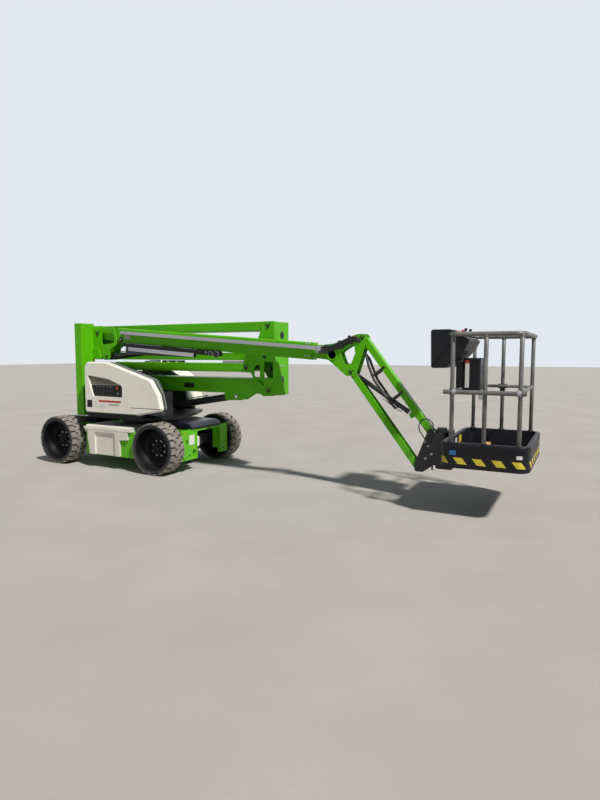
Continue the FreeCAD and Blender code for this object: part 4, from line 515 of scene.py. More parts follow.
def tyres_and_wheels():
    """Block-tread tyres and deep dished wheels with their hub bolts."""
    for name, (x, side) in WHEELS.items():
        centre = (x, side * 0.63, TYRE_RADIUS)
        tyre = Shape()
        for half in (1, -1):
            tyre_half(tyre, half, centre, side)
            tyre_side(tyre, centre, side, half)
        tyre.piece("tyre_tread_" + name, "wheel_" + name, "tyre_rubber", sharp=28, replaces=["tyre_" + name])
        wheel = Shape().use("wheel")
        face = TYRE_HALF
        disc = TYRE_HALF - DISH
        profile = [
            (disc + 0.060, 0.0005), (disc + 0.060, 0.020), (disc + 0.056, 0.040), (disc + 0.048, 0.045),
            (disc + 0.046, 0.070), (disc + 0.040, 0.078), (disc + 0.014, 0.082), (disc + 0.012, 0.1050),
            (disc + 0.006, 0.1125), (disc + 0.004, 0.130), (disc, 0.160), (disc + 0.002, 0.1950),
            (disc + 0.010, 0.2120), (disc + 0.030, 0.2260), (face - 0.090, 0.2360), (face - 0.075, 0.2425),
            (face - 0.055, 0.2470), (face - 0.020, 0.2490), (face - 0.004, 0.2505), (face, 0.2545),
            (face - 0.001, 0.2578), (-TYRE_HALF, 0.2578), (-TYRE_HALF, 0.250), (-0.100, 0.246),
            (disc - 0.014, 0.200), (disc - 0.014, 0.0005),
        ]
        wheel.lathe(profile, centre, (0, side, 0), 96)
        for k in range(8):
            angle = 2 * math.pi * (k + 0.5) / 8
            place = Vector(centre) + Vector((0.094 * math.cos(angle), side * (disc + 0.0125), 0.094 * math.sin(angle)))
            wheel.use("zinc").nut(place, (0, side, 0), radius=0.0105, height=0.011)
        for k in range(6):
            angle = 2 * math.pi * (k + 0.25) / 6
            place = Vector(centre) + Vector((0.058 * math.cos(angle), side * (disc + 0.047), 0.058 * math.sin(angle)))
            wheel.use("black").nut(place, (0, side, 0), radius=0.0055, height=0.006, washer=False)
        wheel.piece("dished_wheel_" + name, "wheel_" + name, "wheel_paint", sharp=40, replaces=["rim_" + name])


def on_boom(x, z, y=0.0):
    """Point given along the main boom's own axis, from its pivot."""
    a = math.radians(MAIN_SLOPE)
    return Vector((MAIN_PIVOT[0] + x * math.cos(a) - z * math.sin(a), BOOM_Y + y,
                   MAIN_PIVOT[1] + x * math.sin(a) + z * math.cos(a)))


def along_arm(start, degrees, x, z, y=0.0):
    """Point along an arm from its pivot."""
    a = math.radians(degrees)
    return Vector((start[0] + x * math.cos(a) - z * math.sin(a), y, start[1] + x * math.sin(a) + z * math.cos(a)))


HOOD_OUTLINE = [
    (-0.310, 0.717, 0.04), (-0.310, 1.377, 0.09), (0.090, 1.377, 0.15), (0.816, 1.166, 0.06), (0.940, 0.980, 0.06),
    (0.985, 0.790, 0.04), (0.590, 0.717, 0.08),
]
WINDOW_FLOOR = -0.695
HOOD_NEAR_FACE = -0.72


def hood_marks():
    """Blank plates, control panel and a black strip of painted shade in the crease of the near hood, and a seam along
    its inner cover's edge whose pale colour is a painted highlight.
    """
    plates = Shape()
    table = (
        ("plastic", (-0.262, -0.172), (0.792, 0.886)),
        ("white", (-0.140, -0.080), (0.794, 0.880)),
        ("red", (-0.055, 0.330), (0.866, 0.890)),
        ("white", (-0.055, 0.085), (0.800, 0.850)),
        ("pale", (0.120, 0.300), (0.825, 0.852)),
    )
    for colour, x, z in table:
        plates.use(colour).block((x[0], HOOD_NEAR_FACE - 0.0016, z[0]), (x[1], HOOD_NEAR_FACE - 0.0004, z[1]))
    # Black strip in the crease groove: painted shade of the crease.
    groove = HOOD_NEAR_FACE + 0.0035
    plates.use("plastic").block((0.484, groove - 0.0006, 0.8078), (0.974, groove, 0.8142))
    plates.piece("hood_near_plates", "hood_near", "plated_steel", bevel=0.0004)

    panel = Shape().use("olive")
    face = WINDOW_FLOOR - 0.0004
    band = [(-0.244, 1.198), (-0.203, 1.088), (0.348, 1.092), (0.342, 1.096), (0.118, 1.158)]
    panel.prism(band, "xz", face - 0.003, face)
    dark = rounded([(-0.197, 1.080, 0.012), (-0.150, 0.942, 0.012), (0.346, 0.936, 0.012), (0.350, 1.084, 0.012)])
    panel.use("plastic").prism(dark, "xz", face - 0.006, face)
    inset = face - 0.006
    for row, z in enumerate((1.045, 1.005, 0.968)):
        for k in range(5):
            x = -0.118 + 0.062 * k
            panel.use("rubber").block((x, inset - 0.004, z - 0.009), (x + 0.028, inset, z + 0.009))
            if row == 0:
                panel.use("pale").block((x + 0.004, inset - 0.0012, z + 0.013), (x + 0.024, inset, z + 0.017))
    ring = (0.268, inset, 1.046)
    panel.use("plastic").lathe([(0, 0.024), (0.003, 0.024), (0.004, 0.021)], ring, (0, -1, 0), 32)
    panel.use("red").lathe([(0.003, 0.011), (0.010, 0.011), (0.012, 0.018), (0.017, 0.017), (0.020, 0.009)],
                           ring, (0, -1, 0), 32)
    key = (0.266, inset, 0.982)
    panel.use("plastic").lathe([(0, 0.015), (0.004, 0.014)], key, (0, -1, 0), 28)
    panel.use("steel").lathe([(0.003, 0.009), (0.007, 0.0085)], key, (0, -1, 0), 28)
    panel.piece("hood_near_control_panel", "hood_near", "black_plastic", bevel=0.0008)

    # Seam along the inner cover's edge; its pale colour is a painted highlight on that edge.
    seam = Shape().use("seam")
    path = [p for p in rounded(HOOD_OUTLINE, 10) if p[1] > 0.80 and p[0] > 0.02]
    seam.pipe([(x, -0.6175, z) for x, z in path], 0.0035, 8)
    seam.piece("inner_cover_seam_near", "turret", "grey_panel")

    vents = Shape().use("rubber")
    for k in range(7):
        x = 0.02 + 0.036 * k
        vents.block((x, 0.7196, 1.060), (x + 0.016, 0.7212, 1.180))
    for x in (-0.20, 0.30):
        vents.use("plastic").block((x, 0.7196, 0.80), (x + 0.05, 0.7226, 0.87))
        vents.use("zinc").block((x + 0.016, 0.7226, 0.815), (x + 0.034, 0.7246, 0.855))
    vents.piece("hood_far_vents_and_latches", "hood_far", "black_plastic", bevel=0.0008)


# Hinge pins: body, x, z, outer face near, outer face far, radius; a hidden end is None
PINS = (
    ("mast", -0.420, 1.752, -0.371, None, 0.025),
    ("mast", -0.260, 1.436, -0.371, None, 0.018),
    ("mast", -0.570, 1.807, None, 0.182, 0.025),
    ("mast", -0.620, 1.447, None, 0.182, 0.025),
    ("turret", -0.150, 1.045, -0.182, 0.182, 0.025),
    ("turret", -0.460, 1.311, -0.182, 0.182, 0.025),
    ("turret", 0.300, 0.747, -0.077, 0.077, 0.022),
    ("riser_knuckle", 2.150, 1.045, -0.180, 0.180, 0.025),
    ("riser_knuckle", 2.150, 1.807, -0.180, 0.180, 0.025),
    ("riser_knuckle", 1.840, 1.311, -0.180, 0.180, 0.025),
    ("riser_knuckle", 2.100, 1.447, -0.180, 0.180, 0.025),
    ("inner_boom", 3.395, 1.6468, -0.3463, -0.2137, 0.016),
    ("inner_boom", 3.270, 1.2818, -0.3463, -0.2137, 0.016),
    ("cage_bracket", 4.130, 0.6855, -0.3440, -0.2160, 0.016),
    ("cage_bracket", 4.005, 0.3205, -0.3440, -0.2160, 0.016),
)
PIN_PROUD = {0.025: 0.008, 0.022: 0.008, 0.018: 0.008, 0.016: 0.006}


def pin_ends():
    """Turned pin ends with a keeper plate and two bolts, at each hinge that shows."""
    bodies = {}
    for body, x, z, near, far, radius in PINS:
        bodies.setdefault(body, []).append((x, z, near, far, radius))
    for body, places in bodies.items():
        shape = Shape()
        keeper_paint = "black" if body == "cage_bracket" else "green"
        for x, z, near, far, radius in places:
            for y, side in ((near, -1), (far, 1)):
                if y is None:
                    continue
                shape.use("black")
                shape.lathe([(0, radius * 0.96), (0.0015, radius * 0.96), (0.003, radius * 0.86)],
                            (x, y, z), (0, side, 0), 32)
                shape.use("rubber").lathe([(0.003, 0.005), (0.008, 0.005), (0.010, 0.003)], (x, y, z), (0, side, 0), 8)
                plate = y - side * (PIN_PROUD[radius] - 0.0003)
                low = z + radius * 0.72
                keeper = rounded([(x - radius * 1.5, low, 0.006), (x + radius * 1.5, low, 0.006),
                                  (x + radius * 1.5, low + 0.020, 0.006), (x - radius * 1.5, low + 0.020, 0.006)], 4)
                shape.use(keeper_paint).prism(keeper, "xz", min(plate, plate + side * 0.006), max(plate, plate + side * 0.006))
                for shift in (-radius * 1.1, radius * 1.1):
                    bolt = (x + shift, plate + side * 0.006, low + 0.011)
                    shape.use("black").nut(bolt, (0, side, 0), radius=0.0055, height=0.005)
        shape.piece("pin_ends_" + body, body, "plated_steel", bevel=0.0006)


def boom_details():
    """Tray side, folded chain, chain rollers, blank label, pad bolts and rear boss of the main boom."""
    tray = Shape().use("zinc")
    face = -0.099
    corners = [(0.575, -0.1905), (1.647, -0.1905), (1.647, -0.1425), (0.575, -0.1425)]
    tray.rings([[on_boom(x, z, y) for x, z in corners] for y in (face - 0.0015, face - 0.0003)])
    for k in range(6):
        place = on_boom(0.64 + 0.19 * k, -0.151, face - 0.0012)
        tray.nut(place, (0, -1, 0), radius=0.004, height=0.0025, washer=False)
    tray.piece("hose_tray_side", "main_boom", "plated_steel", bevel=0.0005)

    chain = Shape().use("plastic")
    for k in range(32):
        x = 0.482 + 0.0436 * k
        link = [(x, -0.1415), (x + 0.0412, -0.1415), (x + 0.0412, -0.0956), (x, -0.0956)]
        chain.rings([[on_boom(a, b, y) for a, b in link] for y in (-0.094, -0.060)])
        pin = on_boom(x + 0.020, -0.1195, -0.094)
        chain.use("rubber").lathe([(0, 0.011), (0.0015, 0.010)], pin, (0, -1, 0), 16).use("plastic")
    for x, z, radius in ((1.828, -0.121, 0.018), (1.893, -0.125, 0.033), (1.978, -0.129, 0.044)):
        place = on_boom(x, z, -0.0912)
        chain.use("rubber").lathe([(0, radius), (0.006, radius), (0.008, radius - 0.003)], place, (0, -1, 0), 32)
        rim = [(0.0075, radius - 0.0060), (0.0090, radius - 0.0055), (0.0090, radius - 0.0035), (0.0075, radius - 0.0030)]
        chain.use("zinc").lathe(rim, place, (0, -1, 0), 32)
        chain.use("rubber").lathe([(0.0078, radius - 0.006), (0.0088, radius - 0.007)], place, (0, -1, 0), 24)
        chain.use("plastic")
    chain.piece("folded_hose_chain", "main_boom", "black_plastic", bevel=0.0015)

    boom = Shape().use("black")
    boss = on_boom(0.405, -0.055, -MAIN_HALF_WIDTH)
    boom.lathe([(-0.004, 0.034), (0.003, 0.034), (0.0045, 0.031)], boss, (0, -1, 0), 40)
    boom.use("zinc").lathe([(0.004, 0.011), (0.0055, 0.010)], boss, (0, -1, 0), 24)
    label = [(0.475, -0.045), (0.570, -0.045), (0.570, 0.010), (0.475, 0.010)]
    boom.use("pale").rings([[on_boom(x, z, y) for x, z in label] for y in (-0.0660, -0.0652)])
    for side in (-1, 1):
        for x in (3.200, 3.160):
            for z in (-0.055, 0.055):
                if side < 0 and z > 0:
                    z = 0.078
                place = on_boom(x, z, side * MAIN_HALF_WIDTH)
                boom.use("zinc").nut(place, (0, side, 0), radius=0.0075, height=0.006)
    for x in (0.42, 0.52, 0.62):
        for z in (-0.072, 0.072):
            boom.nut(on_boom(x, z, MAIN_HALF_WIDTH), (0, 1, 0), radius=0.0065, height=0.005)
    boom.piece("main_boom_fittings", "main_boom", "plated_steel", bevel=0.0006)

    strip = Shape().use("zinc")
    for k in range(9):
        place = on_boom(0.50 + 0.34 * k, 0.038, -0.1050)
        strip.lathe([(0, 0.005), (0.0012, 0.005), (0.0022, 0.003)], place, (0, -1, 0), 12)
    strip.piece("conduit_rivets", "inner_boom", "plated_steel")


def jib_details():
    """Rim of the head's eye, cylinder pipe with its clips, glands and port fittings."""
    head = Shape().use("green")
    eye = (3.0466, -0.3401, 1.4711)
    head.lathe([(0.0, 0.0465), (0.006, 0.0465), (0.0075, 0.049), (0.0075, 0.056), (0.005, 0.060), (0, 0.061)],
               eye, (0, -1, 0), 48)
    head.piece("jib_head_eye_rim", "inner_boom", "green_paint", sharp=50)

    bundle = Shape()
    cheek = -0.3403
    for k in range(4):
        rise = 0.019 * k
        out = cheek - 0.0105 - 0.004 * (k % 2)
        path = [(2.885, -0.378, 1.500 + rise), (2.925, -0.372, 1.497 + rise), (2.975, out, 1.500 + rise),
                (3.050, out, 1.522 + rise * 0.8), (3.150, out, 1.552 + rise * 0.9), (3.240, out, 1.592 + rise * 0.9),
                (3.310, out, 1.618 + rise * 0.7), (3.352, out + 0.006, 1.612 + rise * 0.5),
                (3.362, cheek + 0.004, 1.600 + rise * 0.5)]
        bundle.use("hose").pipe(smooth_path(path, 4), 0.0100, 12)
        bundle.use("zinc").lathe([(-0.006, 0.012), (0.022, 0.012), (0.024, 0.010)], (2.882, -0.378, 1.500 + rise),
                                 (1, 0, 0), 6)
    for x, z, turn in ((2.990, 1.535, 12), (3.150, 1.578, 22), (3.262, 1.630, 20)):
        a = math.radians(turn)
        corners = []
        for u, w in ((-0.012, -0.048), (0.012, -0.048), (0.012, 0.046), (-0.012, 0.046)):
            corners.append((x + u * math.cos(a) - w * math.sin(a), z + u * math.sin(a) + w * math.cos(a)))
        bundle.use("rubber").prism(corners, "xz", cheek - 0.0285, cheek - 0.0003)
    bundle.piece("head_hose_bundle", "inner_boom", "hose_rubber", bevel=0.0008)

    wrap = Shape().use("hose")
    route = ((185, 92, 34), (275, 125, 53), (430, 163, 53), (640, 164, 53), (800, 150, 53))
    for side in (-1, 1):
        path = [along_arm(JIB_PIVOT, JIB_ANGLE, x / 1000, -z / 1000, BOOM_Y + side * y / 1000) for x, z, y in route]
        wrap.use("hose").pipe(path, 0.0130, 14)
        for a, b in zip(path, path[1:]):
            for k in range(1, max(2, int((b - a).length / 0.03))):
                middle = a.lerp(b, k / max(2, int((b - a).length / 0.03)))
                wrap.use("rubber").lathe([(-0.004, 0.0131), (0, 0.0142), (0.004, 0.0131)], middle, (b - a).normalized(), 14)
    wrap.piece("jib_hose_wrap", "jib_upper", "hose_rubber")

    start, end = Vector((3.270, -0.28, 1.2818)), Vector((3.930, -0.28, 0.8591))
    way = (end - start).normalized()
    down = Vector((way.z, 0, -way.x))
    pipe = Shape().use("zinc")
    path = []
    for along, drop in ((0.435, 0.024), (0.435, 0.038), (0.455, 0.044), (0.640, 0.044), (0.660, 0.038), (0.660, 0.024)):
        path.append(start + way * along + down * drop + Vector((0, -0.012, 0)))
    pipe.pipe(smooth_path(path, 4), 0.0045, 10)
    for along in (0.50, 0.60):
        base = start + way * along + Vector((0, -0.012, 0))
        pipe.use("white").pipe([base + down * 0.022, base + down * 0.052], 0.007, 8)
    for along in (0.435, 0.660):
        base = start + way * along + Vector((0, -0.012, 0))
        pipe.use("steel").lathe([(0.018, 0.0085), (0.030, 0.0085), (0.031, 0.007)], base, down, 6)
    pipe.piece("jib_cylinder_pipe", "jib_barrel", "plated_steel")

    collars = (
        ("jib_barrel", (3.270, -0.28, 1.2818), (3.930, -0.28, 0.8591), 0.024, 0.70),
    )
    for body, start, end, radius, along in collars:
        way = (Vector(end) - Vector(start)).normalized()
        band = Shape().use("rubber")
        band.lathe([(0, radius + 0.0003), (0.001, radius + 0.003), (0.022, radius + 0.003), (0.023, radius + 0.0003)],
                   Vector(start) + way * along, way, 40)
        band.piece("wiper_band_" + body, body, "black_plastic")

    bracket = Shape().use("zinc")
    for x, z in ((4.070, 0.600), (4.105, 0.560), (4.140, 0.480), (4.080, 0.430)):
        bracket.nut((x, -0.338, z), (0, -1, 0), radius=0.0085, height=0.007)
    for x, z in ((4.128, 0.520), (4.090, 0.505)):
        bracket.use("black").lathe([(0, 0.013), (0.010, 0.013), (0.012, 0.010), (0.026, 0.010)], (x, -0.338, z),
                                   (0, -1, 0), 6)
    for x in (4.088, 4.140):
        bracket.use("black").rod((x, -0.300, 0.420), (x, -0.300, 0.312), 0.009, 12)
    bracket.piece("cage_bracket_fittings", "cage_bracket", "plated_steel", bevel=0.0005)
    motor = Shape().use("black")
    motor.lathe([(0, 0.050), (0.010, 0.050), (0.014, 0.044), (0.018, 0.044)], (4.2299, -0.28, 0.7276), (0, 0, 1), 40)
    for k in range(8):
        angle = 2 * math.pi * k / 8
        place = (4.2299 + 0.041 * math.cos(angle), -0.28 + 0.041 * math.sin(angle), 0.7376 + 0.0080)
        motor.use("zinc").nut(place, (0, 0, 1), radius=0.005, height=0.005, washer=False)
    motor.piece("rotator_flange", "cage", "black_paint", bevel=0.0005)


FLOOR = 0.5075
RIM = 0.6995
TRAY_FOOT = 0.4675
TOP_RAIL = 1.6545
TRAY_DRAFT = 0.004
MID_RAIL = 1.1495


def tray_ring(inset, z=0.0):
    """Rounded plan of the tray, drawn in by inset."""
    x = (CAGE_X[0] + inset, CAGE_X[1] - inset)
    y = (CAGE_Y[0] + inset, CAGE_Y[1] - inset)
    radius = TRAY_CORNER - inset
    outline = rounded([(x[0], y[0], radius), (x[1], y[0], radius), (x[1], y[1], radius), (x[0], y[1], radius)], 10)
    return [(a, b, z) for a, b in outline]


def cage_tray():
    """Moulded tray with round rim, foot and inner corners, and ribbed floor."""
    tray = Shape().use("tray")
    rings = []
    for k in range(6):
        t = math.radians(90 * k / 5)
        rings.append(tray_ring(0.018 * (1 - math.sin(t)), TRAY_FOOT + 0.018 * (1 - math.cos(t))))
    rings.append(tray_ring(0.004, 0.560))
    rings.append(tray_ring(0.004, 0.640))
    rings.append(tray_ring(0.0, 0.655))
    for k in range(6):
        t = math.radians(90 * k / 5)
        rings.append(tray_ring(0.014 * (1 - math.cos(t)), RIM - 0.014 * (1 - math.sin(t))))
    for k in range(6):
        t = math.radians(90 * k / 5)
        rings.append(tray_ring(0.033 + 0.012 * math.sin(t), RIM - 0.012 * (1 - math.cos(t))))
    for k in range(6):
        t = math.radians(90 * k / 5)
        rings.append(tray_ring(0.045 + 0.014 * (1 - math.cos(t)), FLOOR + 0.014 * (1 - math.sin(t))))
    tray.rings(rings)
    tray.piece("moulded_cage_tray", "cage", "black_plastic", sharp=50, replaces=["cage_tray"])

    ribs = Shape().use("rubber")
    for k in range(14):
        x = CAGE_X[0] + 0.085 + 0.0455 * k
        spans = [(-0.79, 0.19)]
        if 4.50 < x < 4.72:
            spans = [(-0.79, -0.515), (-0.285, 0.19)]
        for low, high in spans:
            ribs.block((x - 0.005, low, FLOOR - 0.0005), (x + 0.005, high, FLOOR + 0.0022))
    ribs.piece("tray_floor_ribs", "cage", "black_plastic", bevel=0.0008)


def perimeter():
    """Points of the tray's plan from the near side's start, and their distances along it."""
    ring = [Vector(p[:2]) for p in tray_ring(-0.0)]
    first = min(range(len(ring)), key=lambda i: abs(ring[i].y - CAGE_Y[0]) * 10 + ring[i].x)
    ring = ring[first:] + ring[:first]
    if ring[1].x < ring[0].x:
        ring = [ring[0]] + ring[:0:-1]
    ring.append(ring[0])
    reach = [0.0]
    for a, b in zip(ring, ring[1:]):
        reach.append(reach[-1] + (b - a).length)
    return ring, reach


def on_perimeter(ring, reach, along, z, out):
    """Point at a distance along the tray's side, out from its face."""
    along = along % reach[-1]
    i = max(k for k in range(len(reach) - 1) if reach[k] <= along + 1e-9)
    way = (ring[i + 1] - ring[i]).normalized()
    place = ring[i] + way * (along - reach[i])
    normal = Vector((way.y, -way.x))
    return (place.x + normal.x * out, place.y + normal.y * out, z)


def side_band(shape, ring, reach, start, length, slant, z, out=0.0012, columns=10, rows=6):
    """Thin slanted plate that follows the tray's side."""
    rings = []
    for k in range(columns + 1):
        top = start + length * k / columns
        outer, inner = [], []
        for row in range(rows + 1):
            height = z[1] + (z[0] - z[1]) * row / rows
            draft = TRAY_DRAFT * min(1, (height - 0.4855) / 0.0745)
            along = top + slant * row / rows
            outer.append(on_perimeter(ring, reach, along, height, out - draft))
            inner.append(on_perimeter(ring, reach, along, height, out - draft - 0.003))
        rings.append(outer + inner[::-1])
    shape.rings(rings)


def tray_marks():
    """Hazard stripes and blank plates round the tray."""
    ring, reach = perimeter()
    marks = Shape().use("hazard")
    width = CAGE_X[1] - CAGE_X[0] - 2 * TRAY_CORNER
    for k in range(22):
        side_band(marks, ring, reach, 0.030 + 0.1642 * k, 0.078, 0.044, (0.510, 0.566))
    marks.piece("tray_hazard_stripes", "cage", "yellow_guard", sharp=60)
    plates = Shape().use("blue")
    side_band(plates, ring, reach, -0.004, 0.060, 0.0, (0.588, 0.628))
    plates.use("white")
    side_band(plates, ring, reach, -0.150, 0.028, 0.0, (0.490, 0.560))
    side_band(plates, ring, reach, width + 0.02, 0.05, 0.0, (0.590, 0.620))
    plates.piece("tray_blank_plates", "cage", "plated_steel", sharp=60)


def guard_rail():
    """Bent top rail, six posts, mid rails, welds and post collars in place of the plain rail."""
    near, far = CAGE_Y[0] + 0.023, CAGE_Y[1] - 0.023
    back, front = CAGE_X[0] + 0.075, CAGE_X[1] - 0.075
    rail = Shape().use("rail")
    bend = rounded([(back, near, 0.07), (front, near, 0.07), (front, far, 0.07), (back, far, 0.07)], 9)
    rail.pipe([(x, y, TOP_RAIL) for x, y in bend], 0.020, 20, loop=True)
    shift = 0.0205
    middle = (back + front) / 2
    posts = []
    for y, side in ((near, 1), (far, -1)):
        posts += [(back + shift, y + side * shift), (middle, y), (front - shift, y + side * shift)]
    for x, y in posts:
        rail.use("rail").rod((x, y, RIM + 0.0003), (x, y, TOP_RAIL - 0.004), 0.019, 24)
        rail.lathe([(-0.030, 0.0192), (-0.024, 0.0225), (-0.014, 0.0225)], (x, y, TOP_RAIL), (0, 0, 1), 24)
        rail.use("rubber").lathe([(0, 0.030), (0.006, 0.029), (0.012, 0.0215)], (x, y, RIM + 0.0001), (0, 0, 1), 28)
    rail.use("rail")
    corners = (posts[2], posts[5], posts[3], posts[0])
    for a, b in zip(corners, corners[1:]):
        rail.rod((*a, MID_RAIL), (*b, MID_RAIL), 0.016, 20)
        for end, other in ((a, b), (b, a)):
            way = (Vector((*other, 0)) - Vector((*end, 0))).normalized()
            rail.lathe([(0.012, 0.0165), (0.019, 0.0200), (0.026, 0.0165)], (*end, MID_RAIL), way, 20)
    rail.piece("guard_rail", "cage", "plated_steel", sharp=45, replaces=["cage_rails"])

    clamps = Shape().use("black")
    x, y = middle, far
    clamps.block((x - 0.045, y - 0.022, MID_RAIL - 0.022), (x + 0.045, y + 0.0225, MID_RAIL + 0.022))
    clamps.block((x - 0.024, y - 0.024, MID_RAIL - 0.060), (x + 0.024, y + 0.024, MID_RAIL - 0.022))
    clamps.piece("rail_clamp_far", "cage", "black_plastic", bevel=0.003, segments=3)


def gate_details():
    """Latch sleeves and blank tag of the entry bar."""
    y, z = -0.8855, MID_RAIL
    gate = Shape()
    for x in (4.985, 4.448):
        gate.use("zinc").lathe([(0, 0.0203), (0.002, 0.0245), (0.030, 0.0245), (0.032, 0.0203)], (x, y, z), (1, 0, 0), 28)
    gate.use("steel").rod((4.996, y, z + 0.022), (4.996, y, z + 0.034), 0.006, 12)
    for x in (4.3745, 5.0545):
        gate.use("rubber").lathe([(-0.004, 0.0170), (-0.001, 0.0208), (0.001, 0.0208), (0.004, 0.0170)],
                                 (x, y, z), (1, 0, 0), 24)
    gate.use("white").block((4.672, y - 0.0012, 1.083), (4.708, y + 0.0012, 1.1302))
    gate.piece("gate_latch_and_tag", "gate", "plated_steel", bevel=0.0006)


def console_details():
    """Control panel with two levers, stop button, switches and lamps; lid and strip of the tool box."""
    start = Vector((4.354, 0, 1.7105))
    way = Vector((0.8655, 0, -0.5008))
    up = Vector((0.5008, 0, 0.8655))

    def on_panel(u, y, out=0.0):
        return start + way * u + up * out + Vector((0, y, 0))

    panel = Shape().use("rubber")
    corners = rounded([(0.018, -0.555, 0.012), (0.192, -0.555, 0.012), (0.192, -0.045, 0.012), (0.018, -0.045, 0.012)], 4)
    panel.rings([[on_panel(u, y, out) for u, y in corners] for out in (-0.001, 0.003)])
    for y in (-0.190, -0.410):
        base = on_panel(0.100, y, 0.003)
        profile = [(0, 0.034), (0.004, 0.032), (0.009, 0.026), (0.012, 0.028), (0.017, 0.020), (0.020, 0.022),
                   (0.025, 0.012), (0.029, 0.008), (0.040, 0.008), (0.044, 0.013), (0.058, 0.015), (0.066, 0.008)]
        panel.use("plastic").lathe(profile, base, up + Vector((-0.15, 0, 0)), 28)
    stop = on_panel(0.060, -0.300, 0.003)
    panel.use("yellow").lathe([(0, 0.030), (0.004, 0.029)], stop, up, 32)
    panel.use("red").lathe([(0.003, 0.012), (0.016, 0.012), (0.018, 0.022), (0.026, 0.021), (0.032, 0.012)], stop, up, 32)
    for k in range(9):
        base = on_panel(0.168, -0.500 + 0.050 * k, 0.003)
        panel.use("zinc").lathe([(0, 0.009), (0.004, 0.009), (0.005, 0.006)], base, up, 6)
        panel.use("plastic").lathe([(0.004, 0.0035), (0.020, 0.0045), (0.022, 0.003)], base, up + way * 0.25, 12)
    for k, colour in enumerate(("amber", "red", "white")):
        lamp = on_panel(0.040, -0.340 + 0.040 * k - 0.14, 0.003)
        panel.use(colour).lathe([(0, 0.008), (0.004, 0.007), (0.006, 0.003)], lamp, up, 20)
    panel.piece("cage_control_panel", "cage", "black_plastic", bevel=0.0006)

    body = Shape().use("plastic")
    body.block((4.1700, -0.540, 1.395), (4.1735, -0.060, 1.665))
    for y in (-0.46, -0.14):
        body.use("zinc").block((4.1680, y - 0.018, 1.650), (4.1712, y + 0.018, 1.690))
    body.use("pale").block((4.1690, -0.36, 1.50), (4.1702, -0.24, 1.58))
    body.use("plastic")
    for y in (-0.5815, -0.0195):
        outline = rounded([(4.200, 1.385, 0.02), (4.320, 1.385, 0.02), (4.435, 1.500, 0.02), (4.435, 1.640, 0.02),
                           (4.340, 1.685, 0.02), (4.200, 1.685, 0.02)], 4)
        body.prism(outline, "xz", y - 0.001, y + 0.002)
    body.piece("console_covers", "cage", "black_plastic", bevel=0.001)

    box = Shape().use("plastic")
    lid = rounded([(4.4505, -0.467, 0.02), (4.6125, -0.467, 0.02), (4.6125, -0.133, 0.02), (4.4505, -0.133, 0.02)], 5)
    box.prism(lid, "xy", 1.412, 1.4425)
    for y in (-0.40, -0.20):
        box.use("zinc").block((4.6115, y - 0.014, 1.385), (4.6150, y + 0.014, 1.430))
    box.use("white").block((4.474, -0.4664, 1.165), (4.512, -0.4652, 1.396))
    box.use("red").block((4.474, -0.4684, 1.396), (4.512, -0.4664, 1.420))
    box.use("plastic")
    holder = rounded([(4.385, -0.452, 0.01), (4.4505, -0.452, 0.002), (4.4505, -0.148, 0.002), (4.385, -0.148, 0.01)], 4)
    box.prism(holder, "xy", 1.155, 1.405)
    box.piece("tool_box_lid_and_strip", "cage", "black_plastic", bevel=0.0012)

    switch = Shape().use("pad").block((4.514, -0.490, 0.5270), (4.612, -0.310, 0.5310))
    for k in range(7):
        x = 4.522 + 0.0135 * k
        switch.use("rubber").block((x - 0.0025, -0.484, 0.5308), (x + 0.0025, -0.316, 0.5330))
    switch.use("black").block((4.698, -0.44, 0.555), (4.7012, -0.36, 0.600))
    for y in (-0.485, -0.315):
        switch.use("zinc").nut((4.690, y, 0.6380), (0, 0, 1), radius=0.005, height=0.004)
    switch.piece("foot_switch_treadle", "cage", "yellow_guard", bevel=0.001)

    fittings = Shape()
    fittings.use("hazard").block((4.3840, -0.230, 0.600), (4.3868, -0.120, 0.672))
    fittings.use("white").block((4.3840, -0.400, 0.620), (4.3868, -0.330, 0.668))
    for x, y in ((4.80, 0.180), (4.87, 0.180)):
        fittings.use("zinc").block((x - 0.020, y - 0.012, FLOOR - 0.0005), (x + 0.020, y + 0.012, FLOOR + 0.006))
        fittings.nut((x, y, FLOOR + 0.006), (0, 0, 1), radius=0.007, height=0.006)
    fittings.piece("tray_inner_plates", "cage", "plated_steel", bevel=0.0005)


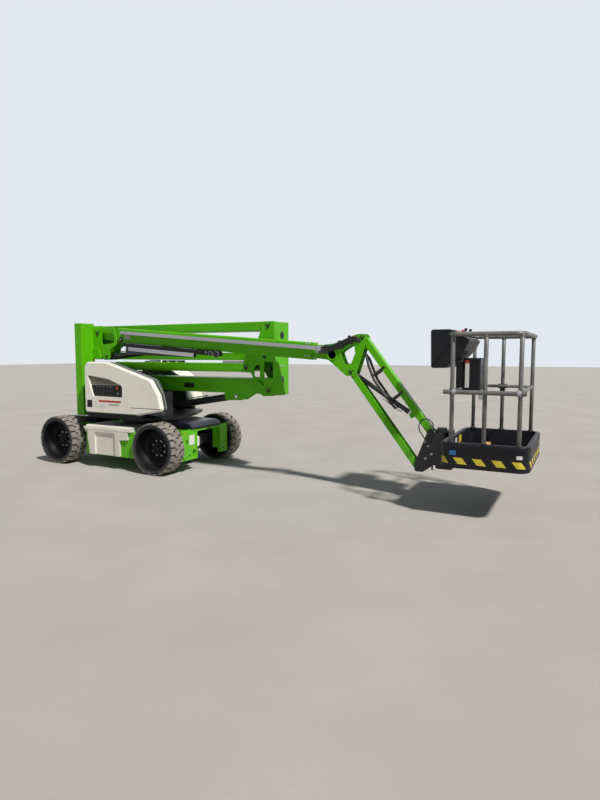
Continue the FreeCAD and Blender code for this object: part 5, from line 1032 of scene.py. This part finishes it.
def riser_details():
    """Blank label, cylinder lug bolts, valve fittings and knuckle bolts of the riser linkage."""
    lower = Shape().use("plastic").block((0.870, -0.1532, 1.052), (1.035, -0.1518, 1.108))
    for x, z in ((1.600, 0.975), (1.640, 0.975)):
        lower.use("zinc").nut((x, -0.072, z), (0, -1, 0), radius=0.008, height=0.007)
        lower.nut((x, 0.072, z), (0, 1, 0), radius=0.008, height=0.007)
    lower.use("steel").lathe([(0, 0.020), (0.008, 0.020), (0.010, 0.017)], (1.620, -0.0720, 0.945), (0, -1, 0), 28)
    lower.lathe([(0, 0.020), (0.008, 0.020), (0.010, 0.017)], (1.620, 0.0720, 0.945), (0, 1, 0), 28)
    lower.piece("lower_boom_fittings", "lower_boom", "plated_steel", bevel=0.0006)

    valves = Shape().use("zinc").block((0.200, -0.052, 1.3655), (0.330, 0.030, 1.3950))
    for k in range(4):
        x = 0.215 + 0.034 * k
        valves.use("zinc").lathe([(0, 0.008), (0.012, 0.008), (0.014, 0.006)], (x, -0.050, 1.378), (0, -1, 0), 6)
    for k in range(5):
        x = 0.42 + 0.075 * k
        valves.use("white" if k % 2 else "black").block((x, -0.050, 1.3655), (x + 0.040, 0.010, 1.3935))
        valves.use("zinc").lathe([(0, 0.006), (0.010, 0.006)], (x + 0.020, -0.050, 1.380), (0, -1, 0), 6)
    valves.use("zinc").block((1.411, -0.058, 1.3655), (1.718, -0.030, 1.3955))
    valves.piece("riser_valve_block", "lower_tie", "plated_steel", bevel=0.001)

    knuckle = Shape().use("black")
    knuckle.rod((2.150, -0.158, 1.300), (2.150, 0.158, 1.300), 0.020, 24)
    for y, z in ((-0.030, 1.335), (0.055, 1.333), (-0.10, 1.62), (0.10, 1.62)):
        knuckle.use("zinc").nut((2.232, y, z), (1, 0, 0), radius=0.009, height=0.008)
    for y, z, radius in ((0.000, 1.160, 0.056), (0.010, 1.702, 0.046)):
        knuckle.use("rubber").lathe([(-0.002, radius), (0.0015, radius), (0.003, radius - 0.004)], (2.232, y, z),
                                    (1, 0, 0), 32)
    knuckle.piece("riser_knuckle_fittings", "riser_knuckle", "plated_steel", bevel=0.0006)

    for body, base, way, radius, along in (
            ("boom_barrel", (-0.26, -0.28, 1.436), (0.995134, 0, 0.098528), 0.038, 0.62),
            ("riser_barrel", (0.30, 0.0, 0.747), (0.98723, 0, 0.159303), 0.045, 0.82)):
        base, way = Vector(base), Vector(way)
        over = Vector((-way.z, 0, way.x))
        pipe = Shape().use("black")
        path = [base + way * a + over * (radius + b) for a, b in ((0.070, -0.006), (0.070, 0.008), (0.090, 0.014),
                                                                  (along - 0.02, 0.014), (along, 0.008), (along, -0.006))]
        pipe.pipe(smooth_path(path, 4), 0.0055, 10)
        for a in (0.070, along):
            pipe.use("zinc").lathe([(-0.004, 0.010), (0.010, 0.010), (0.011, 0.008)], base + way * a + over * radius,
                                   over, 6)
        for a in (0.20, along - 0.12):
            pipe.use("zinc").pipe([base + way * a + over * (radius - 0.002), base + way * a + over * (radius + 0.021)],
                                  0.008, 8)
        pipe.piece("cylinder_pipe_" + body, body, "black_paint")


def chassis_details():
    """Blank plate, socket cover, reflectors, tie-down bar and cover screws."""
    end = 1.100
    panel = Shape().use("white")
    panel.prism(rounded([(-0.352, 0.338, 0.01), (-0.250, 0.338, 0.01), (-0.250, 0.462, 0.01), (-0.352, 0.462, 0.01)], 4),
                "yz", end, end + 0.0014)
    cap = rounded([(-0.190, 0.300, 0.004), (-0.143, 0.300, 0.022), (-0.143, 0.430, 0.022), (-0.190, 0.430, 0.004)], 6)
    panel.prism(cap, "yz", end - 0.034, end - 0.004)
    for y, z in ((-0.440, 0.492), (-0.268, 0.300)):
        panel.use("amber").lathe([(0, 0.012), (0.003, 0.011), (0.005, 0.006)], (end, y, z), (1, 0, 0), 24)
    for y in (-0.470, -0.220):
        for z in (0.505, 0.340):
            panel.use("green").nut((end, y, z), (1, 0, 0), radius=0.008, height=0.006)
    path = [(1.092, -0.468, 0.212), (1.118, -0.468, 0.190), (1.124, -0.458, 0.170), (1.124, -0.428, 0.164),
            (1.124, -0.398, 0.170), (1.118, -0.388, 0.190), (1.092, -0.388, 0.212)]
    panel.use("green").pipe(smooth_path(path, 5), 0.0085, 12)
    panel.piece("end_panel_fittings", "chassis", "plated_steel", bevel=0.0006)

    covers = Shape().use("black")
    for side in (-1, 1):
        for x in (0.62, 0.84, 1.06):
            for y in (-0.29, 0.29):
                covers.lathe([(0, 0.010), (0.003, 0.009), (0.0045, 0.004)], (side * x, y, 0.598), (0, 0, 1), 16)
    covers.piece("cover_screws", "chassis", "black_paint")


def power_pack_details():
    """Cap, motor fins and four nuts on the plain power pack between the hoods."""
    low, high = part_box("power_pack")
    pack = Shape().use("black")
    top = 1.180
    pack.lathe([(0, 0.035), (0.012, 0.035), (0.016, 0.030), (0.030, 0.030), (0.034, 0.026)], (0.0, 0.20, top), (0, 0, 1), 32)
    for k in range(10):
        x = -0.08 + 0.016 * k
        pack.block((x, 0.10, top), (x + 0.006, 0.145, top + 0.012))
    pack.use("zinc")
    for k in range(4):
        pack.nut((0.06 + 0.03 * k, 0.24, top), (0, 0, 1), radius=0.008, height=0.008)
    pack.piece("power_pack_caps", "turret", "black_paint", bevel=0.001)


def free_loop():
    """Hose loop at the cage bracket on its own route, both ends in their glands."""
    end = (4.129931, 0.685519)
    route = (
        (-0.050, -0.066), (-0.080, -0.016), (-0.1175, 0.034), (-0.1175, 0.104), (-0.075, 0.1465),
        (-0.015, 0.1465), (0.0275, 0.104), (0.0275, 0.034), (0.015, -0.031), (-0.005, -0.086),
    )
    curve = bpy.data.curves.new("cage_hose_loop", "CURVE")
    curve.dimensions = "3D"
    spline = curve.splines.new("NURBS")
    spline.points.add(len(route) - 1)
    for point, (x, z) in zip(spline.points, route):
        point.co = (end[0] + x, -0.353, end[1] + z, 1)
    spline.order_u = 3
    spline.use_endpoint_u = True
    spline.resolution_u = 12
    curve.bevel_depth = 0.006
    curve.bevel_resolution = 4
    curve.use_fill_caps = True
    curve.materials.append(M["hose"])
    loop = bpy.data.objects.new("cage_hose_loop", curve)
    bpy.context.scene.collection.objects.link(loop)
    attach(loop, "cage_bracket")
    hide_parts("cage_hose")


def stage_and_lights():
    """Camera at the photograph's place, pale floor, sun-like key and soft sky."""
    camera = bpy.data.objects.new("photo_camera", bpy.data.cameras.new("photo_camera"))
    camera.data.sensor_width = SENSOR
    camera.data.lens = CAMERA_LENS
    camera.location = CAMERA_PLACE
    camera.rotation_euler = (math.radians(90 - CAMERA_TILT), 0, math.radians(CAMERA_TURN))
    bpy.context.scene.collection.objects.link(camera)
    bpy.context.scene.camera = camera

    material, tree, shader, add = node_tree("pale_floor")
    shader.inputs["Roughness"].default_value = 0.85
    tone = noise_mask(tree, add, 1.2, 0.35, 0.7)
    fine = noise_mask(tree, add, 45, 0.3, 0.75)
    base = mix(tree, add, tone, (0.44, 0.42, 0.39), (0.49, 0.47, 0.44))
    result = mix(tree, add, scaled(tree, add, fine, 0.25), base, (0.39, 0.37, 0.34))
    tree.links.new(result, shader.inputs["Base Color"])
    data = bpy.data.meshes.new("floor")
    size = 60
    data.from_pydata([(-size, -size, 0), (size, -size, 0), (size, size, 0), (-size, size, 0)], [], [(0, 1, 2, 3)])
    data.materials.append(material)
    floor = bpy.data.objects.new("floor", data)
    bpy.context.scene.collection.objects.link(floor)

    sun = bpy.data.objects.new("key_sun", bpy.data.lights.new("key_sun", "SUN"))
    sun.data.energy = 3.9
    sun.data.angle = math.radians(4)
    sun.data.color = (1.0, 0.97, 0.92)
    azimuth, height = math.radians(-24), math.radians(50)
    towards = Vector((math.cos(azimuth) * math.cos(height), math.sin(azimuth) * math.cos(height), math.sin(height)))
    sun.rotation_euler = towards.to_track_quat("Z", "Y").to_euler()
    bpy.context.scene.collection.objects.link(sun)

    world = bpy.data.worlds.new("studio")
    bpy.context.scene.world = world
    world.use_nodes = True
    tree = world.node_tree
    background = tree.nodes["Background"]
    light = tree.nodes.new("ShaderNodeLightPath")
    pick = tree.nodes.new("ShaderNodeMath")
    pick.operation = "MAXIMUM"
    tree.links.new(light.outputs["Is Camera Ray"], pick.inputs[0])
    tree.links.new(light.outputs["Is Glossy Ray"], pick.inputs[1])
    white = tree.nodes.new("ShaderNodeBackground")
    white.inputs["Color"].default_value = (0.86, 0.90, 0.96, 1)
    white.inputs["Strength"].default_value = 0.9
    background.inputs["Color"].default_value = (0.80, 0.87, 1.0, 1)
    background.inputs["Strength"].default_value = 0.15
    blend = tree.nodes.new("ShaderNodeMixShader")
    tree.links.new(pick.outputs[0], blend.inputs[0])
    tree.links.new(background.outputs[0], blend.inputs[1])
    tree.links.new(white.outputs[0], blend.inputs[2])
    tree.links.new(blend.outputs[0], tree.nodes["World Output"].inputs["Surface"])
    bpy.context.scene.view_settings.view_transform = "Standard"


random.seed(7)
stage_and_lights()
free_loop()
carried_over_finishes()
tyres_and_wheels()
hood_marks()
pin_ends()
boom_details()
jib_details()
riser_details()
chassis_details()
power_pack_details()
cage_tray()
tray_marks()
guard_rail()
gate_details()
console_details()
